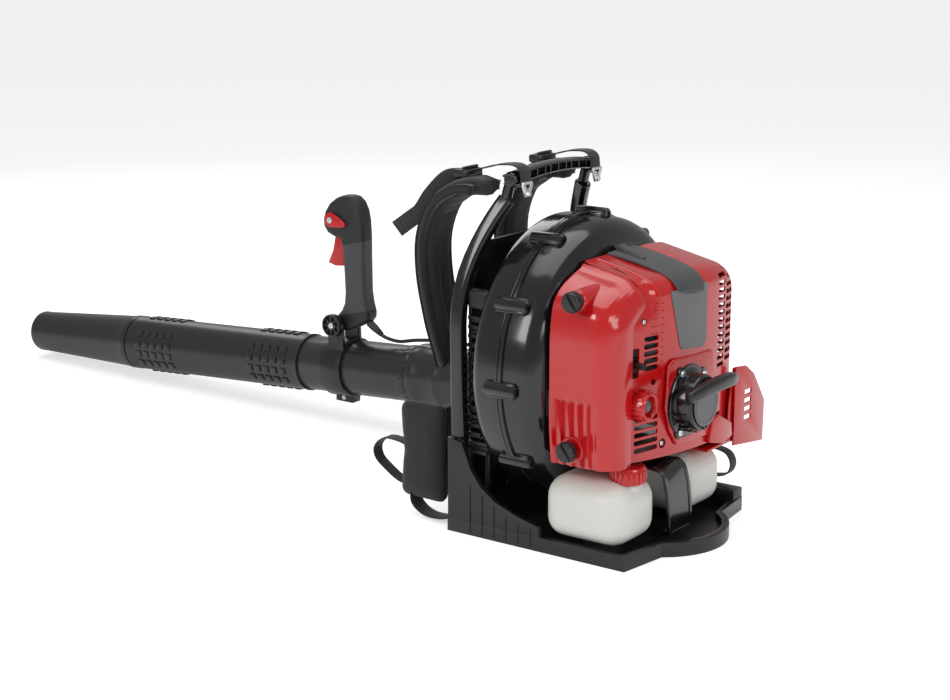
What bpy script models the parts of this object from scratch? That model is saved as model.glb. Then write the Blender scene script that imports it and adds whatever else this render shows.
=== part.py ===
"""Backpack leaf blower: frame, fan housing, engine, blow pipe, control handle and harness.

Metres, +Z up.  The origin is on the underside of the base, under the crankshaft's mid plane.
+X is the wearer's right, +Y is the way the wearer faces and the air leaves, and -Y is the
side with the engine covers and the recoil starter.
"""

import math

import bmesh
import bpy
from mathutils import Matrix, Vector

GAP = 0.0003  # running gap between neighbouring pieces

# Base tray and frame
BASE_HALF_WIDTH = 0.160
BASE_BACK_Y = 0.122
BASE_FRONT_Y = -0.165
BASE_RIM_HEIGHT = 0.020
BASE_FLOOR = 0.008
BASE_WALL = 0.010
BUMP_RADIUS = 0.100
BUMP_CENTRE_Y = -0.118
RAIL_DEPTH = 0.022
RAIL_WIDTH = 0.018

# Fan housing
VOLUTE_X = 0.006
VOLUTE_Z = 0.235
VOLUTE_RADIUS = 0.196
VOLUTE_WALL = 0.003
VOLUTE_SPLIT_Y = 0.015
VOLUTE_BACK_Y = 0.064
VOLUTE_FRONT_Y = -0.046
SNOUT_X = 0.180
SNOUT_Z = 0.116
SNOUT_RADIUS = 0.056
OUTLET_RADIUS = 0.046

# Engine
CRANK_Z = 0.197
CYLINDER_Y = -0.100
PISTON_THROW = 0.016
BORE_RADIUS = 0.0253
COVER_WALL = 0.0026

# Blow pipe: the line of its axis at rest
PIPE_X = 0.211
PIPE_START_Y = 0.125
PIPE_START_Z = 0.1132
PIPE_DROP = math.radians(3.18)
PIPE_RADIUS = 0.0475
COVER_SEAM_X = -0.1130
COVER_GAP = 0.0008
CHOKE_X = -0.1030
PRIMER_X = -0.0950
PRIMER_Z = 0.208
BELLOWS_LENGTH = 0.085
COLLAR_END = 0.325
SWIVEL_END = 0.5805
STRAIGHT_END = 0.990
NOZZLE_END = 1.235
NOZZLE_RADIUS = 0.034

# Control handle
HANDLE_X = 0.200
PIVOT_Y = 0.606
PIVOT_Z = 0.1643
GRIP_HALF = 0.016

PIPE_FRAME = (
    Matrix.Translation((PIPE_X, PIPE_START_Y, PIPE_START_Z))
    @ Matrix.Rotation(-PIPE_DROP, 4, "X")
    @ Matrix.Rotation(-math.pi / 2, 4, "X")
)
ALONG_MINUS_Y = Matrix.Rotation(math.pi / 2, 4, "X")

# ---------------------------------------------------------------- materials

PAINTS = {
    "black_plastic": ((0.018, 0.018, 0.020), 0.34, 0.0),
    "gloss_black": ((0.010, 0.010, 0.012), 0.16, 0.0),
    "red_plastic": ((0.66, 0.018, 0.018), 0.24, 0.0),
    "grey_rubber": ((0.060, 0.060, 0.065), 0.62, 0.0),
    "grey_plastic": ((0.085, 0.088, 0.092), 0.48, 0.0),
    "tank_plastic": ((0.86, 0.85, 0.80), 0.38, 0.0),
    "pipe_plastic": ((0.030, 0.031, 0.034), 0.36, 0.0),
    "bright_steel": ((0.62, 0.62, 0.64), 0.26, 1.0),
    "cast_aluminium": ((0.55, 0.56, 0.57), 0.45, 1.0),
    "black_fabric": ((0.014, 0.014, 0.016), 0.90, 0.0),
    "filter_foam": ((0.20, 0.20, 0.19), 0.95, 0.0),
}


def paint(name):
    """Return the Principled material of that name, made once."""
    found = bpy.data.materials.get(name)
    if found:
        return found
    colour, roughness, metallic = PAINTS[name]
    made = bpy.data.materials.new(name)
    made.use_nodes = True
    shader = made.node_tree.nodes["Principled BSDF"]
    shader.inputs["Base Color"].default_value = (*colour, 1.0)
    shader.inputs["Roughness"].default_value = roughness
    shader.inputs["Metallic"].default_value = metallic
    made.diffuse_color = (*colour, 1.0)
    return made


# ---------------------------------------------------------------- modelling helpers


def finish(name, bm, paint_name, place=None, smooth_angle=35.0, open_skin=False):
    """Turn a bmesh into an object whose origin stands at the given place."""
    if not open_skin:
        bmesh.ops.recalc_face_normals(bm, faces=bm.faces)
    mesh = bpy.data.meshes.new(name)
    bm.to_mesh(mesh)
    bm.free()
    mesh.shade_smooth()
    mesh.set_sharp_from_angle(angle=math.radians(smooth_angle))
    mesh.materials.append(paint(paint_name))
    made = bpy.data.objects.new(name, mesh)
    bpy.context.scene.collection.objects.link(made)
    if place is not None:
        made.matrix_world = place
    return made


def prism(points, travel):
    """Extrude a flat outline, given as 3-D points, along the travel vector."""
    bm = bmesh.new()
    face = bm.faces.new([bm.verts.new(p) for p in points])
    grown = bmesh.ops.extrude_face_region(bm, geom=[face])
    moved = [v for v in grown["geom"] if isinstance(v, bmesh.types.BMVert)]
    bmesh.ops.translate(bm, verts=moved, vec=Vector(travel))
    return bm


def block(low, high):
    """Return a box between two corners."""
    (x0, y0, z0), (x1, y1, z1) = low, high
    corners = [(x0, y0, z0), (x1, y0, z0), (x1, y1, z0), (x0, y1, z0)]
    return prism(corners, (0, 0, z1 - z0))


def side_prism(outline, x0, x1):
    """Extrude an outline of (y, z) points from x0 to x1."""
    return prism([(x0, y, z) for y, z in outline], (x1 - x0, 0, 0))


def soften(made, width, segments=2, angle=30.0):
    """Round the sharp edges with a Bevel modifier."""
    bevel = made.modifiers.new("rounded_edges", "BEVEL")
    bevel.width = width
    bevel.segments = segments
    bevel.limit_method = "ANGLE"
    bevel.angle_limit = math.radians(angle)
    return made


def lathe(profile, steps=32, closed=True):
    """Spin (radius, height) points about local Z; an open profile starts and ends at radius 0."""
    bm = bmesh.new()
    verts = [bm.verts.new((radius, 0.0, height)) for radius, height in profile]
    pairs = list(zip(verts, verts[1:]))
    if closed:
        pairs.append((verts[-1], verts[0]))
    edges = [bm.edges.new(pair) for pair in pairs]
    bmesh.ops.spin(
        bm,
        geom=verts + edges,
        axis=(0, 0, 1),
        cent=(0, 0, 0),
        steps=steps,
        angle=2 * math.pi,
        use_merge=True,
    )
    bmesh.ops.remove_doubles(bm, verts=bm.verts, dist=1e-6)
    return bm


def tube_profile(inner, outer, low, high):
    """Return the section of a plain ring or tube."""
    return [(inner, low), (outer, low), (outer, high), (inner, high)]


def rod_profile(radius, low, high, edge=0.0):
    """Return the open section of a solid round bar, with a chamfer if edge is given."""
    if not edge:
        return [(0, low), (radius, low), (radius, high), (0, high)]
    return [
        (0, low),
        (radius - edge, low),
        (radius, low + edge),
        (radius, high - edge),
        (radius - edge, high),
        (0, high),
    ]


def merge(bm, other, place=None):
    """Copy another bmesh into this one as a separate body, and free it."""
    mesh = bpy.data.meshes.new("loose")
    bmesh.ops.recalc_face_normals(other, faces=other.faces)
    if place is not None:
        other.transform(place)
    other.to_mesh(mesh)
    other.free()
    bm.from_mesh(mesh)
    bpy.data.meshes.remove(mesh)
    return bm


def guide(name, bm, place=None):
    """Make a hidden helper solid for a Boolean modifier."""
    made = finish(name, bm, "black_plastic", place)
    made.hide_render = True
    made.display_type = "WIRE"
    return made


def combine(target, helper, operation):
    """Join a helper solid to the target, or cut it away."""
    boolean = target.modifiers.new(helper.name, "BOOLEAN")
    boolean.operation = operation
    boolean.solver = "EXACT"
    boolean.use_self = operation == "UNION"
    boolean.object = helper
    return target


def join(target, bm, place=None):
    """Fuse the solids of a bmesh to the target."""
    return combine(target, guide(target.name + "_add", bm, place), "UNION")


def cut(target, bm, place=None):
    """Cut the solids of a bmesh out of the target."""
    return combine(target, guide(target.name + "_cut", bm, place), "DIFFERENCE")


def sweep(path, sections):
    """Skin equal rings of points, one for each path station, and cap both ends."""
    bm = bmesh.new()
    rings = []
    for centre, ring in zip(path, sections):
        rings.append([bm.verts.new(Vector(centre) + Vector(p)) for p in ring])
    count = len(rings[0])
    for first, second in zip(rings, rings[1:]):
        for i in range(count):
            j = (i + 1) % count
            bm.faces.new((first[i], first[j], second[j], second[i]))
    bm.faces.new(rings[0])
    bm.faces.new(rings[-1])
    return bm


def smooth_route(points, steps):
    """Read a smooth curve through the given points (Catmull-Rom), steps per span."""
    pts = [Vector(p) for p in points]
    pts = [2 * pts[0] - pts[1], *pts, 2 * pts[-1] - pts[-2]]
    out = []
    for a, b, c, d in zip(pts, pts[1:], pts[2:], pts[3:]):
        for k in range(steps):
            t = k / steps
            out.append(
                0.5
                * (
                    2 * b
                    + (c - a) * t
                    + (2 * a - 5 * b + 4 * c - d) * t * t
                    + (3 * b - a - 3 * c + d) * t * t * t
                )
            )
    out.append(pts[-2])
    return out


def strip(path, half_width_x, thickness):
    """Sweep a flat band along a path in a plane of constant X, its width along X."""
    pts = [Vector(p) for p in path]
    rings = []
    for i, _ in enumerate(pts):
        ahead = pts[min(i + 1, len(pts) - 1)] - pts[max(i - 1, 0)]
        normal = Vector((0, -ahead.z, ahead.y)).normalized() * thickness / 2
        side = Vector((half_width_x, 0, 0))
        rings.append([side + normal, side - normal, -side - normal, -side + normal])
    return sweep(pts, rings)


def circle(radius, count, centre=(0.0, 0.0)):
    """Return count points of a circle in a plane."""
    turns = [2 * math.pi * k / count for k in range(count)]
    return [(centre[0] + radius * math.cos(a), centre[1] + radius * math.sin(a)) for a in turns]


def mirrored(name, source):
    """Make the mirror image of an object across X = 0."""
    mesh = source.data.copy()
    mesh.name = name
    mesh.transform(Matrix.Scale(-1, 4, (1, 0, 0)))
    mesh.flip_normals()
    made = bpy.data.objects.new(name, mesh)
    bpy.context.scene.collection.objects.link(made)
    for modifier in source.modifiers:
        if modifier.type == "BEVEL":
            soften(made, modifier.width, modifier.segments, math.degrees(modifier.angle_limit))
    return made


# ---------------------------------------------------------------- frame


def base_outline(inset):
    """Plan of the base tray: straight sides, two front feet and a round nose between them."""
    half = BASE_HALF_WIDTH - inset
    front = BASE_FRONT_Y + inset
    radius = BUMP_RADIUS - inset
    reach = math.acos(0.082 / BUMP_RADIUS)
    nose = []
    for k in range(13):
        angle = math.pi + reach + k * (math.pi - 2 * reach) / 12
        nose.append((radius * math.cos(angle), BUMP_CENTRE_Y + radius * math.sin(angle)))
    back = BASE_BACK_Y - inset
    return [(-half, back), (-half, front), *nose, (half, front), (half, back)]


def build_base():
    floor_plan = [(x, y, 0.0) for x, y in base_outline(0.0)]
    base = finish("base", prism(floor_plan, (0, 0, BASE_RIM_HEIGHT)), "black_plastic")
    pocket = [(x, y, BASE_FLOOR) for x, y in base_outline(BASE_WALL)]
    cut(base, prism(pocket, (0, 0, BASE_RIM_HEIGHT)))
    front = [(0.041, 0.055), (0.005, 0.042), (-0.029, 0.034), (-0.034, 0.004)]
    left = [(0.1215, 0.004), (0.1215, 0.135), (0.098, 0.130), (0.083, 0.094), (0.066, 0.072), *front]
    right = [(0.1215, 0.004), (0.1215, 0.135), (0.1045, 0.135), (0.1045, 0.050), (0.041, 0.045), *front[1:]]
    sides = bmesh.new()
    merge(sides, side_prism(left, -BASE_HALF_WIDTH + 0.0005, -BASE_HALF_WIDTH + 0.0085))
    merge(sides, side_prism(right, BASE_HALF_WIDTH - 0.0085, BASE_HALF_WIDTH - 0.0005))
    merge(sides, block((-0.1515, 0.110, 0.004), (0.1515, 0.1210, 0.030)))
    merge(sides, block((0.1345, -0.1645, 0.004), (0.1515, -0.0300, 0.034)))
    merge(sides, block((0.1510, -0.1645, 0.004), (0.1595, -0.0280, 0.034)))
    join(base, sides)


def rail_section(scale=1.0):
    """Rounded rectangular section of a side rail, in the X and in-plane directions."""
    w, d, c = RAIL_WIDTH / 2 * scale, RAIL_DEPTH / 2 * scale, 0.004
    return [
        (w - c, -d), (w, -d + c), (w, d - c), (w - c, d), (-w + c, d), (-w, d - c), (-w, -d + c), (-w + c, -d)
    ]


def build_rails():
    """Side rails: up from the base's back corners, leaning in and back at the top."""
    route = [(0.150, 0.108, 0.1365), (0.150, 0.109, 0.200), (0.150, 0.110, 0.265), (0.147, 0.111, 0.315)]
    route += [(0.136, 0.107, 0.360), (0.121, 0.097, 0.400), (0.106, 0.083, 0.435), (0.094, 0.070, 0.4600)]
    path = smooth_route(route, 2)
    sections = []
    for i, _ in enumerate(path):
        ahead = (path[min(i + 1, len(path) - 1)] - path[max(i - 1, 0)]).normalized()
        across = Vector((1, 0, 0))
        deep = ahead.cross(across).normalized()
        across = deep.cross(ahead)
        sections.append([across * x + deep * y for x, y in rail_section()])
    rail = finish("rail_right", sweep(path, sections), "gloss_black")
    mirrored("rail_left", rail)


def build_back_frame():
    """Slotted back plate between the rails, with a ribbed air grille folded along each side."""
    plate = [
        (-0.132, 0.0305), (0.132, 0.0305), (0.132, 0.330), (0.104, 0.400), (-0.104, 0.400), (-0.132, 0.330)
    ]
    frame = finish("back_frame", prism([(x, 0.106, z) for x, z in plate], (0, -0.005, 0)), "black_plastic")
    slots = bmesh.new()
    for row in range(9):
        z = 0.090 + 0.030 * row
        merge(slots, block((-0.085, 0.098, z), (0.085, 0.109, z + 0.014)))
    cut(frame, slots)
    posts = bmesh.new()
    for side in (-1, 1):
        for y in (0.069, 0.0945):
            low, high = sorted((side * 0.1315, side * 0.1355))
            merge(posts, block((low, y, 0.178 if side > 0 else 0.060), (high, y + 0.0065, 0.310)))
    join(frame, posts)
    ribs = bmesh.new()
    for side in (-1, 1):
        low, high = sorted((side * 0.1300, side * 0.1400))
        for row in range(11):
            z = 0.116 + 0.0180 * row
            if side < 0 or z > SNOUT_Z + 0.065:
                merge(ribs, block((low, 0.0680, z), (high, 0.0985, z + 0.0070)))
    combine(frame, guide("back_frame_ribs", ribs), "UNION")
    gland = [(0.0, 0.0), (0.0080, 0.0), (0.0080, 0.006), (0.0050, 0.0080), (0.0050, 0.0125), (0.0, 0.0125)]
    outward = Matrix.Translation((0.122, 0.104, 0.187)) @ Matrix.Rotation(-math.pi / 2, 4, "X")
    combine(frame, guide("back_frame_gland", lathe(gland, 14, closed=False), outward), "UNION")


def build_carry_handle():
    """Ribbed arched grab handle between the tops of the rails."""
    path = []
    for k in range(13):
        t = k / 12 * 2 - 1
        path.append((0.102 * t, 0.060, 0.4945 - 0.008 * t * t))
    ring = [(0, 0.012 * math.cos(a), 0.0085 * math.sin(a)) for a in [math.pi * k / 5 for k in range(10)]]
    handle = finish("carry_handle", sweep(path, [ring] * len(path)), "gloss_black")
    legs = bmesh.new()
    for side in (-1, 1):
        x = side * 0.094
        foot = [
            (x - 0.008, 0.061, 0.4690),
            (x + 0.008, 0.061, 0.4690),
            (x + 0.008, 0.077, 0.4690),
            (x - 0.008, 0.077, 0.4690),
        ]
        merge(legs, prism(foot, (-side * 0.003, -0.008, 0.022)))
    join(handle, legs)


def build_hooks():
    """Bright triangular strap hangers screwed to the front of the handle's legs."""
    plate = [
        (-0.011, 0.4850),
        (0.011, 0.4850),
        (0.012, 0.4800),
        (0.0045, 0.4640),
        (-0.0045, 0.4640),
        (-0.012, 0.4800),
    ]
    for name, x in (("hook_left", -0.086), ("hook_right", 0.086)):
        outline = [(x + px, 0.0440, z) for px, z in plate]
        hook = finish(name, prism(outline, (0, -0.0030, 0)), "bright_steel")
        window = [(x - 0.0065, 0.0455, 0.4812), (x + 0.0065, 0.0455, 0.4812), (x, 0.0455, 0.4735)]
        cut(hook, prism(window, (0, -0.006, 0)))
        screw = merge(
            bmesh.new(),
            lathe(rod_profile(0.0036, 0.0, 0.004), 12),
            Matrix.Translation((x, 0.0415, 0.4682)) @ ALONG_MINUS_Y,
        )
        join(hook, screw)


# ---------------------------------------------------------------- fan housing


def volute_outline(inset):
    """Outline of the scroll in the X-Z plane: a large circle with a smaller one at the outlet."""
    big = VOLUTE_RADIUS - inset
    small = SNOUT_RADIUS - inset
    run = Vector((SNOUT_X - VOLUTE_X, SNOUT_Z - VOLUTE_Z))
    heading = math.atan2(run.y, run.x)
    spread = math.acos((big - small) / run.length)
    points = []
    for k in range(25):
        angle = heading + spread + k * (2 * math.pi - 2 * spread) / 24
        points.append((VOLUTE_X + big * math.cos(angle), VOLUTE_Z + big * math.sin(angle)))
    for k in range(7):
        angle = heading - spread + k * 2 * spread / 6
        points.append((SNOUT_X + small * math.cos(angle), SNOUT_Z + small * math.sin(angle)))
    return points


def volute_half(name, outside, inside):
    """One half of the fan housing: the rim is open, the far wall is closed on both skins."""
    bm = bmesh.new()
    outer = [[bm.verts.new((x, y, z)) for x, z in volute_outline(inset)] for y, inset in outside]
    inner = [[bm.verts.new((x, y, z)) for x, z in volute_outline(inset)] for y, inset in inside]
    rings = outer[::-1] + inner
    count = len(rings[0])
    for first, second in zip(rings, rings[1:]):
        for i in range(count):
            j = (i + 1) % count
            bm.faces.new((first[i], first[j], second[j], second[i]))
    bm.faces.new(outer[-1])
    bm.faces.new(inner[-1])
    return finish(name, bm, "gloss_black", smooth_angle=40.0)


def boss_ring(low, high):
    """Screw bosses spaced round the rim, as separate bars along Y."""
    bosses = bmesh.new()
    length = high - low
    for k in range(8):
        angle = math.radians(18 + 33 * k)
        x = VOLUTE_X + (VOLUTE_RADIUS + 0.001) * math.cos(angle)
        z = VOLUTE_Z + (VOLUTE_RADIUS + 0.001) * math.sin(angle)
        place = Matrix.Translation((x, high, z)) @ ALONG_MINUS_Y
        merge(bosses, lathe(rod_profile(0.0070, 0.0, length), 8, closed=False), place)
    return bosses


def build_volute():
    split = VOLUTE_SPLIT_Y
    wall = VOLUTE_WALL
    rear = volute_half(
        "volute_rear",
        [
            (split + GAP, -0.004),
            (split + 0.005, -0.004),
            (split + 0.0055, 0.0),
            (0.052, 0.0),
            (0.060, 0.004),
            (VOLUTE_BACK_Y, 0.012),
        ],
        [(split + GAP, wall), (0.051, wall), (0.058, wall + 0.004), (VOLUTE_BACK_Y - wall, 0.0135)],
    )
    cut(
        rear,
        lathe(rod_profile(0.072, -0.030, 0.030), 28, closed=False),
        Matrix.Translation((0, VOLUTE_BACK_Y, CRANK_Z)) @ ALONG_MINUS_Y,
    )
    mouth = guide(
        "volute_rear_mouth",
        lathe(rod_profile(OUTLET_RADIUS - 0.002, -0.03, 0.03), 28, closed=False),
        Matrix.Translation((SNOUT_X, VOLUTE_BACK_Y, SNOUT_Z)) @ ALONG_MINUS_Y,
    )
    combine(rear, mouth, "DIFFERENCE")
    join(rear, boss_ring(split + GAP, 0.036))
    front = volute_half(
        "volute_front",
        [
            (split - GAP, -0.004),
            (split - 0.005, -0.004),
            (split - 0.0055, 0.0),
            (-0.020, 0.002),
            (-0.034, 0.008),
            (-0.042, 0.020),
            (VOLUTE_FRONT_Y, 0.040),
        ],
        [
            (split - GAP, wall),
            (-0.020, wall + 0.002),
            (-0.033, wall + 0.008),
            (-0.040, 0.022),
            (VOLUTE_FRONT_Y + wall, 0.041),
        ],
    )
    cut(
        front,
        lathe(rod_profile(0.0095, -0.020, 0.020), 16, closed=False),
        Matrix.Translation((0, VOLUTE_FRONT_Y, CRANK_Z)) @ ALONG_MINUS_Y,
    )
    join(front, boss_ring(-0.014, split - GAP))


def build_fan():
    """Centrifugal fan: a back disc, a hub and backward-leaning blades."""
    disc = [
        (0.0085, -0.030),
        (0.024, -0.030),
        (0.024, 0.006),
        (0.050, 0.012),
        (0.130, 0.014),
        (0.130, 0.017),
        (0.040, 0.016),
        (0.0085, 0.016),
    ]
    spin_frame = Matrix.Translation((0, 0, CRANK_Z)) @ ALONG_MINUS_Y
    fan = finish("fan", lathe(disc, 24), "cast_aluminium", spin_frame)
    blades = bmesh.new()
    for k in range(14):
        outline = [
            (0.060, -0.0015, -0.020),
            (0.127, -0.0015, -0.012),
            (0.127, -0.0015, 0.0155),
            (0.060, -0.0015, 0.0145),
        ]
        lean = Matrix.Rotation(2 * math.pi * k / 14, 4, "Z")
        merge(blades, prism(outline, (0, 0.003, 0)), lean)
    join(fan, blades, spin_frame)


# ---------------------------------------------------------------- engine


def on_crank(y):
    """A frame on the crank axis at the given Y, local +Z pointing to -Y."""
    return Matrix.Translation((0, y, CRANK_Z)) @ ALONG_MINUS_Y


def build_crankshaft():
    shaft = finish(
        "crankshaft",
        lathe(rod_profile(0.0080, 0.0, 0.1130, 0.001), 16, closed=False),
        "bright_steel",
        on_crank(0.028),
    )
    webs = bmesh.new()
    merge(webs, lathe(rod_profile(0.0270, 0.1110, 0.1190, 0.001), 20, closed=False))
    merge(webs, lathe(rod_profile(0.0270, 0.1340, 0.1420, 0.001), 20, closed=False))
    join(shaft, webs, on_crank(0.028))
    pins = bmesh.new()
    merge(
        pins,
        lathe(rod_profile(0.0055, 0.1170, 0.1360), 12, closed=False),
        Matrix.Translation((0, -PISTON_THROW, 0)),
    )
    merge(pins, lathe(rod_profile(0.0080, 0.1400, 0.1720, 0.001), 16, closed=False))
    combine(shaft, guide("crankshaft_pins", pins, on_crank(0.028)), "UNION")


def build_crankcase():
    section = [
        (0.0083, 0.0),
        (0.0420, 0.0),
        (0.0420, 0.058),
        (0.0083, 0.058),
        (0.0083, 0.051),
        (0.0330, 0.051),
        (0.0330, 0.007),
        (0.0083, 0.007),
    ]
    case = finish("crankcase", lathe(section, 20), "cast_aluminium", on_crank(-0.0700))
    join(case, block((-0.032, -0.1270, CRANK_Z + 0.0345), (0.032, -0.0710, CRANK_Z + 0.0422)))
    bore = guide(
        "crankcase_bore",
        lathe(rod_profile(BORE_RADIUS + 0.0005, 0.0, 0.06), 24, closed=False),
        Matrix.Translation((0, CYLINDER_Y, CRANK_Z + 0.004)),
    )
    combine(case, bore, "DIFFERENCE")
    feet = bmesh.new()
    for side in (-1, 1):
        merge(
            feet,
            block(
                (side * 0.034 - 0.009, -0.0800, CRANK_Z - 0.030),
                (side * 0.034 + 0.009, -0.0466, CRANK_Z - 0.008),
            ),
        )
    combine(case, guide("crankcase_feet", feet), "UNION")


def build_cylinder():
    """Finned air-cooled barrel with a blind bore open at the bottom."""
    bottom = 0.0003
    section = [(BORE_RADIUS, bottom), (0.040, bottom), (0.040, 0.006), (0.031, 0.006)]
    for k in range(6):
        z = 0.014 + 0.0120 * k
        reach = 0.049 - 0.0008 * k
        section += [(0.031, z), (reach, z), (reach, z + 0.0032), (0.031, z + 0.0032)]
    section += [(0.031, 0.0850), (0.022, 0.0880), (0.0, 0.0880)]
    inside = [(0.0, 0.0800), (BORE_RADIUS - 0.004, 0.0800), (BORE_RADIUS, 0.0760)]
    profile = inside + section
    bm = bmesh.new()
    verts = [bm.verts.new((radius, 0.0, height)) for radius, height in profile]
    edges = [bm.edges.new(pair) for pair in zip(verts, verts[1:])]
    bmesh.ops.spin(
        bm, geom=verts + edges, axis=(0, 0, 1), cent=(0, 0, 0), steps=16, angle=2 * math.pi, use_merge=True
    )
    bmesh.ops.remove_doubles(bm, verts=bm.verts, dist=1e-6)
    finish("cylinder", bm, "cast_aluminium", Matrix.Translation((0, CYLINDER_Y, CRANK_Z + 0.0425)))


def build_piston():
    section = [(0.0, 0.0145), (0.019, 0.0145), (0.021, -0.016), (BORE_RADIUS - GAP, -0.016)]
    section += [(BORE_RADIUS - GAP, 0.016), (0.023, 0.018), (0.0, 0.020)]
    place = Matrix.Translation((0, CYLINDER_Y, 0.277))
    finish("piston", lathe(section, 16, closed=False), "cast_aluminium", place)


def build_engine_fittings():
    top = CRANK_Z + 0.0425 + 0.0880
    plug = [
        (0, GAP),
        (0.0095, GAP),
        (0.0095, 0.007),
        (0.0060, 0.009),
        (0.0060, 0.012),
        (0.0105, 0.014),
        (0.0105, 0.030),
        (0.006, 0.034),
        (0, 0.034),
    ]
    finish(
        "spark_plug", lathe(plug, 14, closed=False), "bright_steel", Matrix.Translation((0, CYLINDER_Y, top))
    )
    wheel = [
        (0.0083, 0.0),
        (0.0365, 0.0),
        (0.0385, 0.002),
        (0.0385, 0.012),
        (0.030, 0.012),
        (0.028, 0.005),
        (0.0083, 0.005),
    ]
    finish("flywheel", lathe(wheel, 24), "cast_aluminium", on_crank(-0.1290))
    coil = finish(
        "ignition_coil",
        block((-0.0600, -0.1410, CRANK_Z - 0.015), (-0.0395, -0.1290, CRANK_Z + 0.015)),
        "black_plastic",
    )
    soften(coil, 0.002, 2)
    carb = finish(
        "carburettor", block((-0.0880, -0.1180, 0.262), (-0.0503, -0.0820, 0.298)), "cast_aluminium"
    )
    soften(carb, 0.003, 2)
    intake = lathe(rod_profile(0.012, 0.0, 0.0140), 16, closed=False)
    join(carb, intake, Matrix.Translation((-0.0997, -0.1000, 0.280)) @ Matrix.Rotation(math.pi / 2, 4, "Y"))
    filter_body = finish(
        "air_filter", block((-0.1330, -0.1120, 0.225), (-0.1000, -0.0500, 0.325)), "filter_foam"
    )
    soften(filter_body, 0.008, 3)
    muffler = finish("muffler", block((0.0510, -0.1300, 0.200), (0.1150, -0.0680, 0.305)), "bright_steel")
    soften(muffler, 0.010, 3)
    arm = [(-0.005, 0.004), (-0.003, -0.018), (0.003, -0.018), (0.005, 0.004), (0.0, 0.006)]
    place = Matrix.Translation((-0.0720, -0.1000, 0.2983))
    finish("throttle_arm", prism([(x, y, GAP) for x, y in arm], (0, 0, 0.003)), "bright_steel", place)


# ---------------------------------------------------------------- covers


def cover_shell(name, low, high, open_sides, roundings, shape, cuts):
    """Thin shell of a box whose open sides are removed and whose edges are rounded.

    roundings is a list of (edge test, radius); shape moves each vertex; cuts are X, Y and Z
    planes that give the flat faces enough vertices to follow the shape.
    """
    bm = block(low, high)
    bmesh.ops.recalc_face_normals(bm, faces=bm.faces)
    gone = []
    for face in bm.faces:
        if any(face.normal.dot(Vector(side)) > 0.9 for side in open_sides):
            gone.append(face)
    bmesh.ops.delete(bm, geom=gone, context="FACES")
    for test, radius, segments in roundings:
        edges = [e for e in bm.edges if len(e.link_faces) == 2 and test(e)]
        bmesh.ops.bevel(
            bm,
            geom=edges,
            offset=radius,
            offset_type="OFFSET",
            segments=segments,
            profile=0.5,
            affect="EDGES",
        )
    for axis, values in enumerate(cuts):
        normal = [0.0, 0.0, 0.0]
        normal[axis] = 1.0
        for value in values:
            point = [0.0, 0.0, 0.0]
            point[axis] = value
            bmesh.ops.bisect_plane(
                bm, geom=bm.verts[:] + bm.edges[:] + bm.faces[:], plane_co=point, plane_no=normal
            )
    for vert in bm.verts:
        vert.co = shape(vert.co)
    made = finish(name, bm, "red_plastic", smooth_angle=50.0, open_skin=True)
    solid = made.modifiers.new("wall", "SOLIDIFY")
    solid.thickness = COVER_WALL
    solid.offset = -1.0
    return made


def front_shape(co):
    """Bow the front cover forwards and slope its top and bottom."""
    x, y, z = co
    forward = min(1.0, max(0.0, (-0.050 - y) / 0.090))
    across = (x - 0.035) / 0.125
    y -= forward * (0.016 * (1 - across * across))
    high = max(0.0, (z - 0.250) / 0.130)
    z -= high * (0.020 * forward + 0.010 * max(0.0, across) ** 2)
    low = max(0.0, (0.230 - z) / 0.100)
    z -= low * 0.012 * (1 + across) * 0.5
    return Vector((x, y, z))


def side_shape(co):
    """Draw the side cover's front corner in towards the seam."""
    x, y, z = co
    high = max(0.0, (z - 0.250) / 0.125)
    low = max(0.0, (0.200 - z) / 0.070)
    forward = min(1.0, max(0.0, (-0.050 - y) / 0.080))
    z -= high * 0.014 * forward
    x += 0.006 * low * low * min(1.0, max(0.0, (-0.114 - x) / 0.030))
    return Vector((x, y, z))


def edge_in_plane(axis, value, tests):
    """Return a test for edges in a plane across an axis whose middle passes every (axis, low, high)."""

    def check(edge):
        a, b = edge.verts
        middle = (a.co + b.co) / 2
        flat = abs(a.co[axis] - value) < 1e-5 and abs(b.co[axis] - value) < 1e-5
        return flat and all(lo < middle[i] < hi for i, lo, hi in tests)

    return check


def edge_along(axis, tests):
    """Return a test for edges parallel to an axis whose middle passes every (axis, low, high)."""

    def check(edge):
        a, b = edge.verts
        run = b.co - a.co
        middle = (a.co + b.co) / 2
        return abs(run[axis]) > 0.9 * run.length and all(lo < middle[i] < hi for i, lo, hi in tests)

    return check


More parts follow.
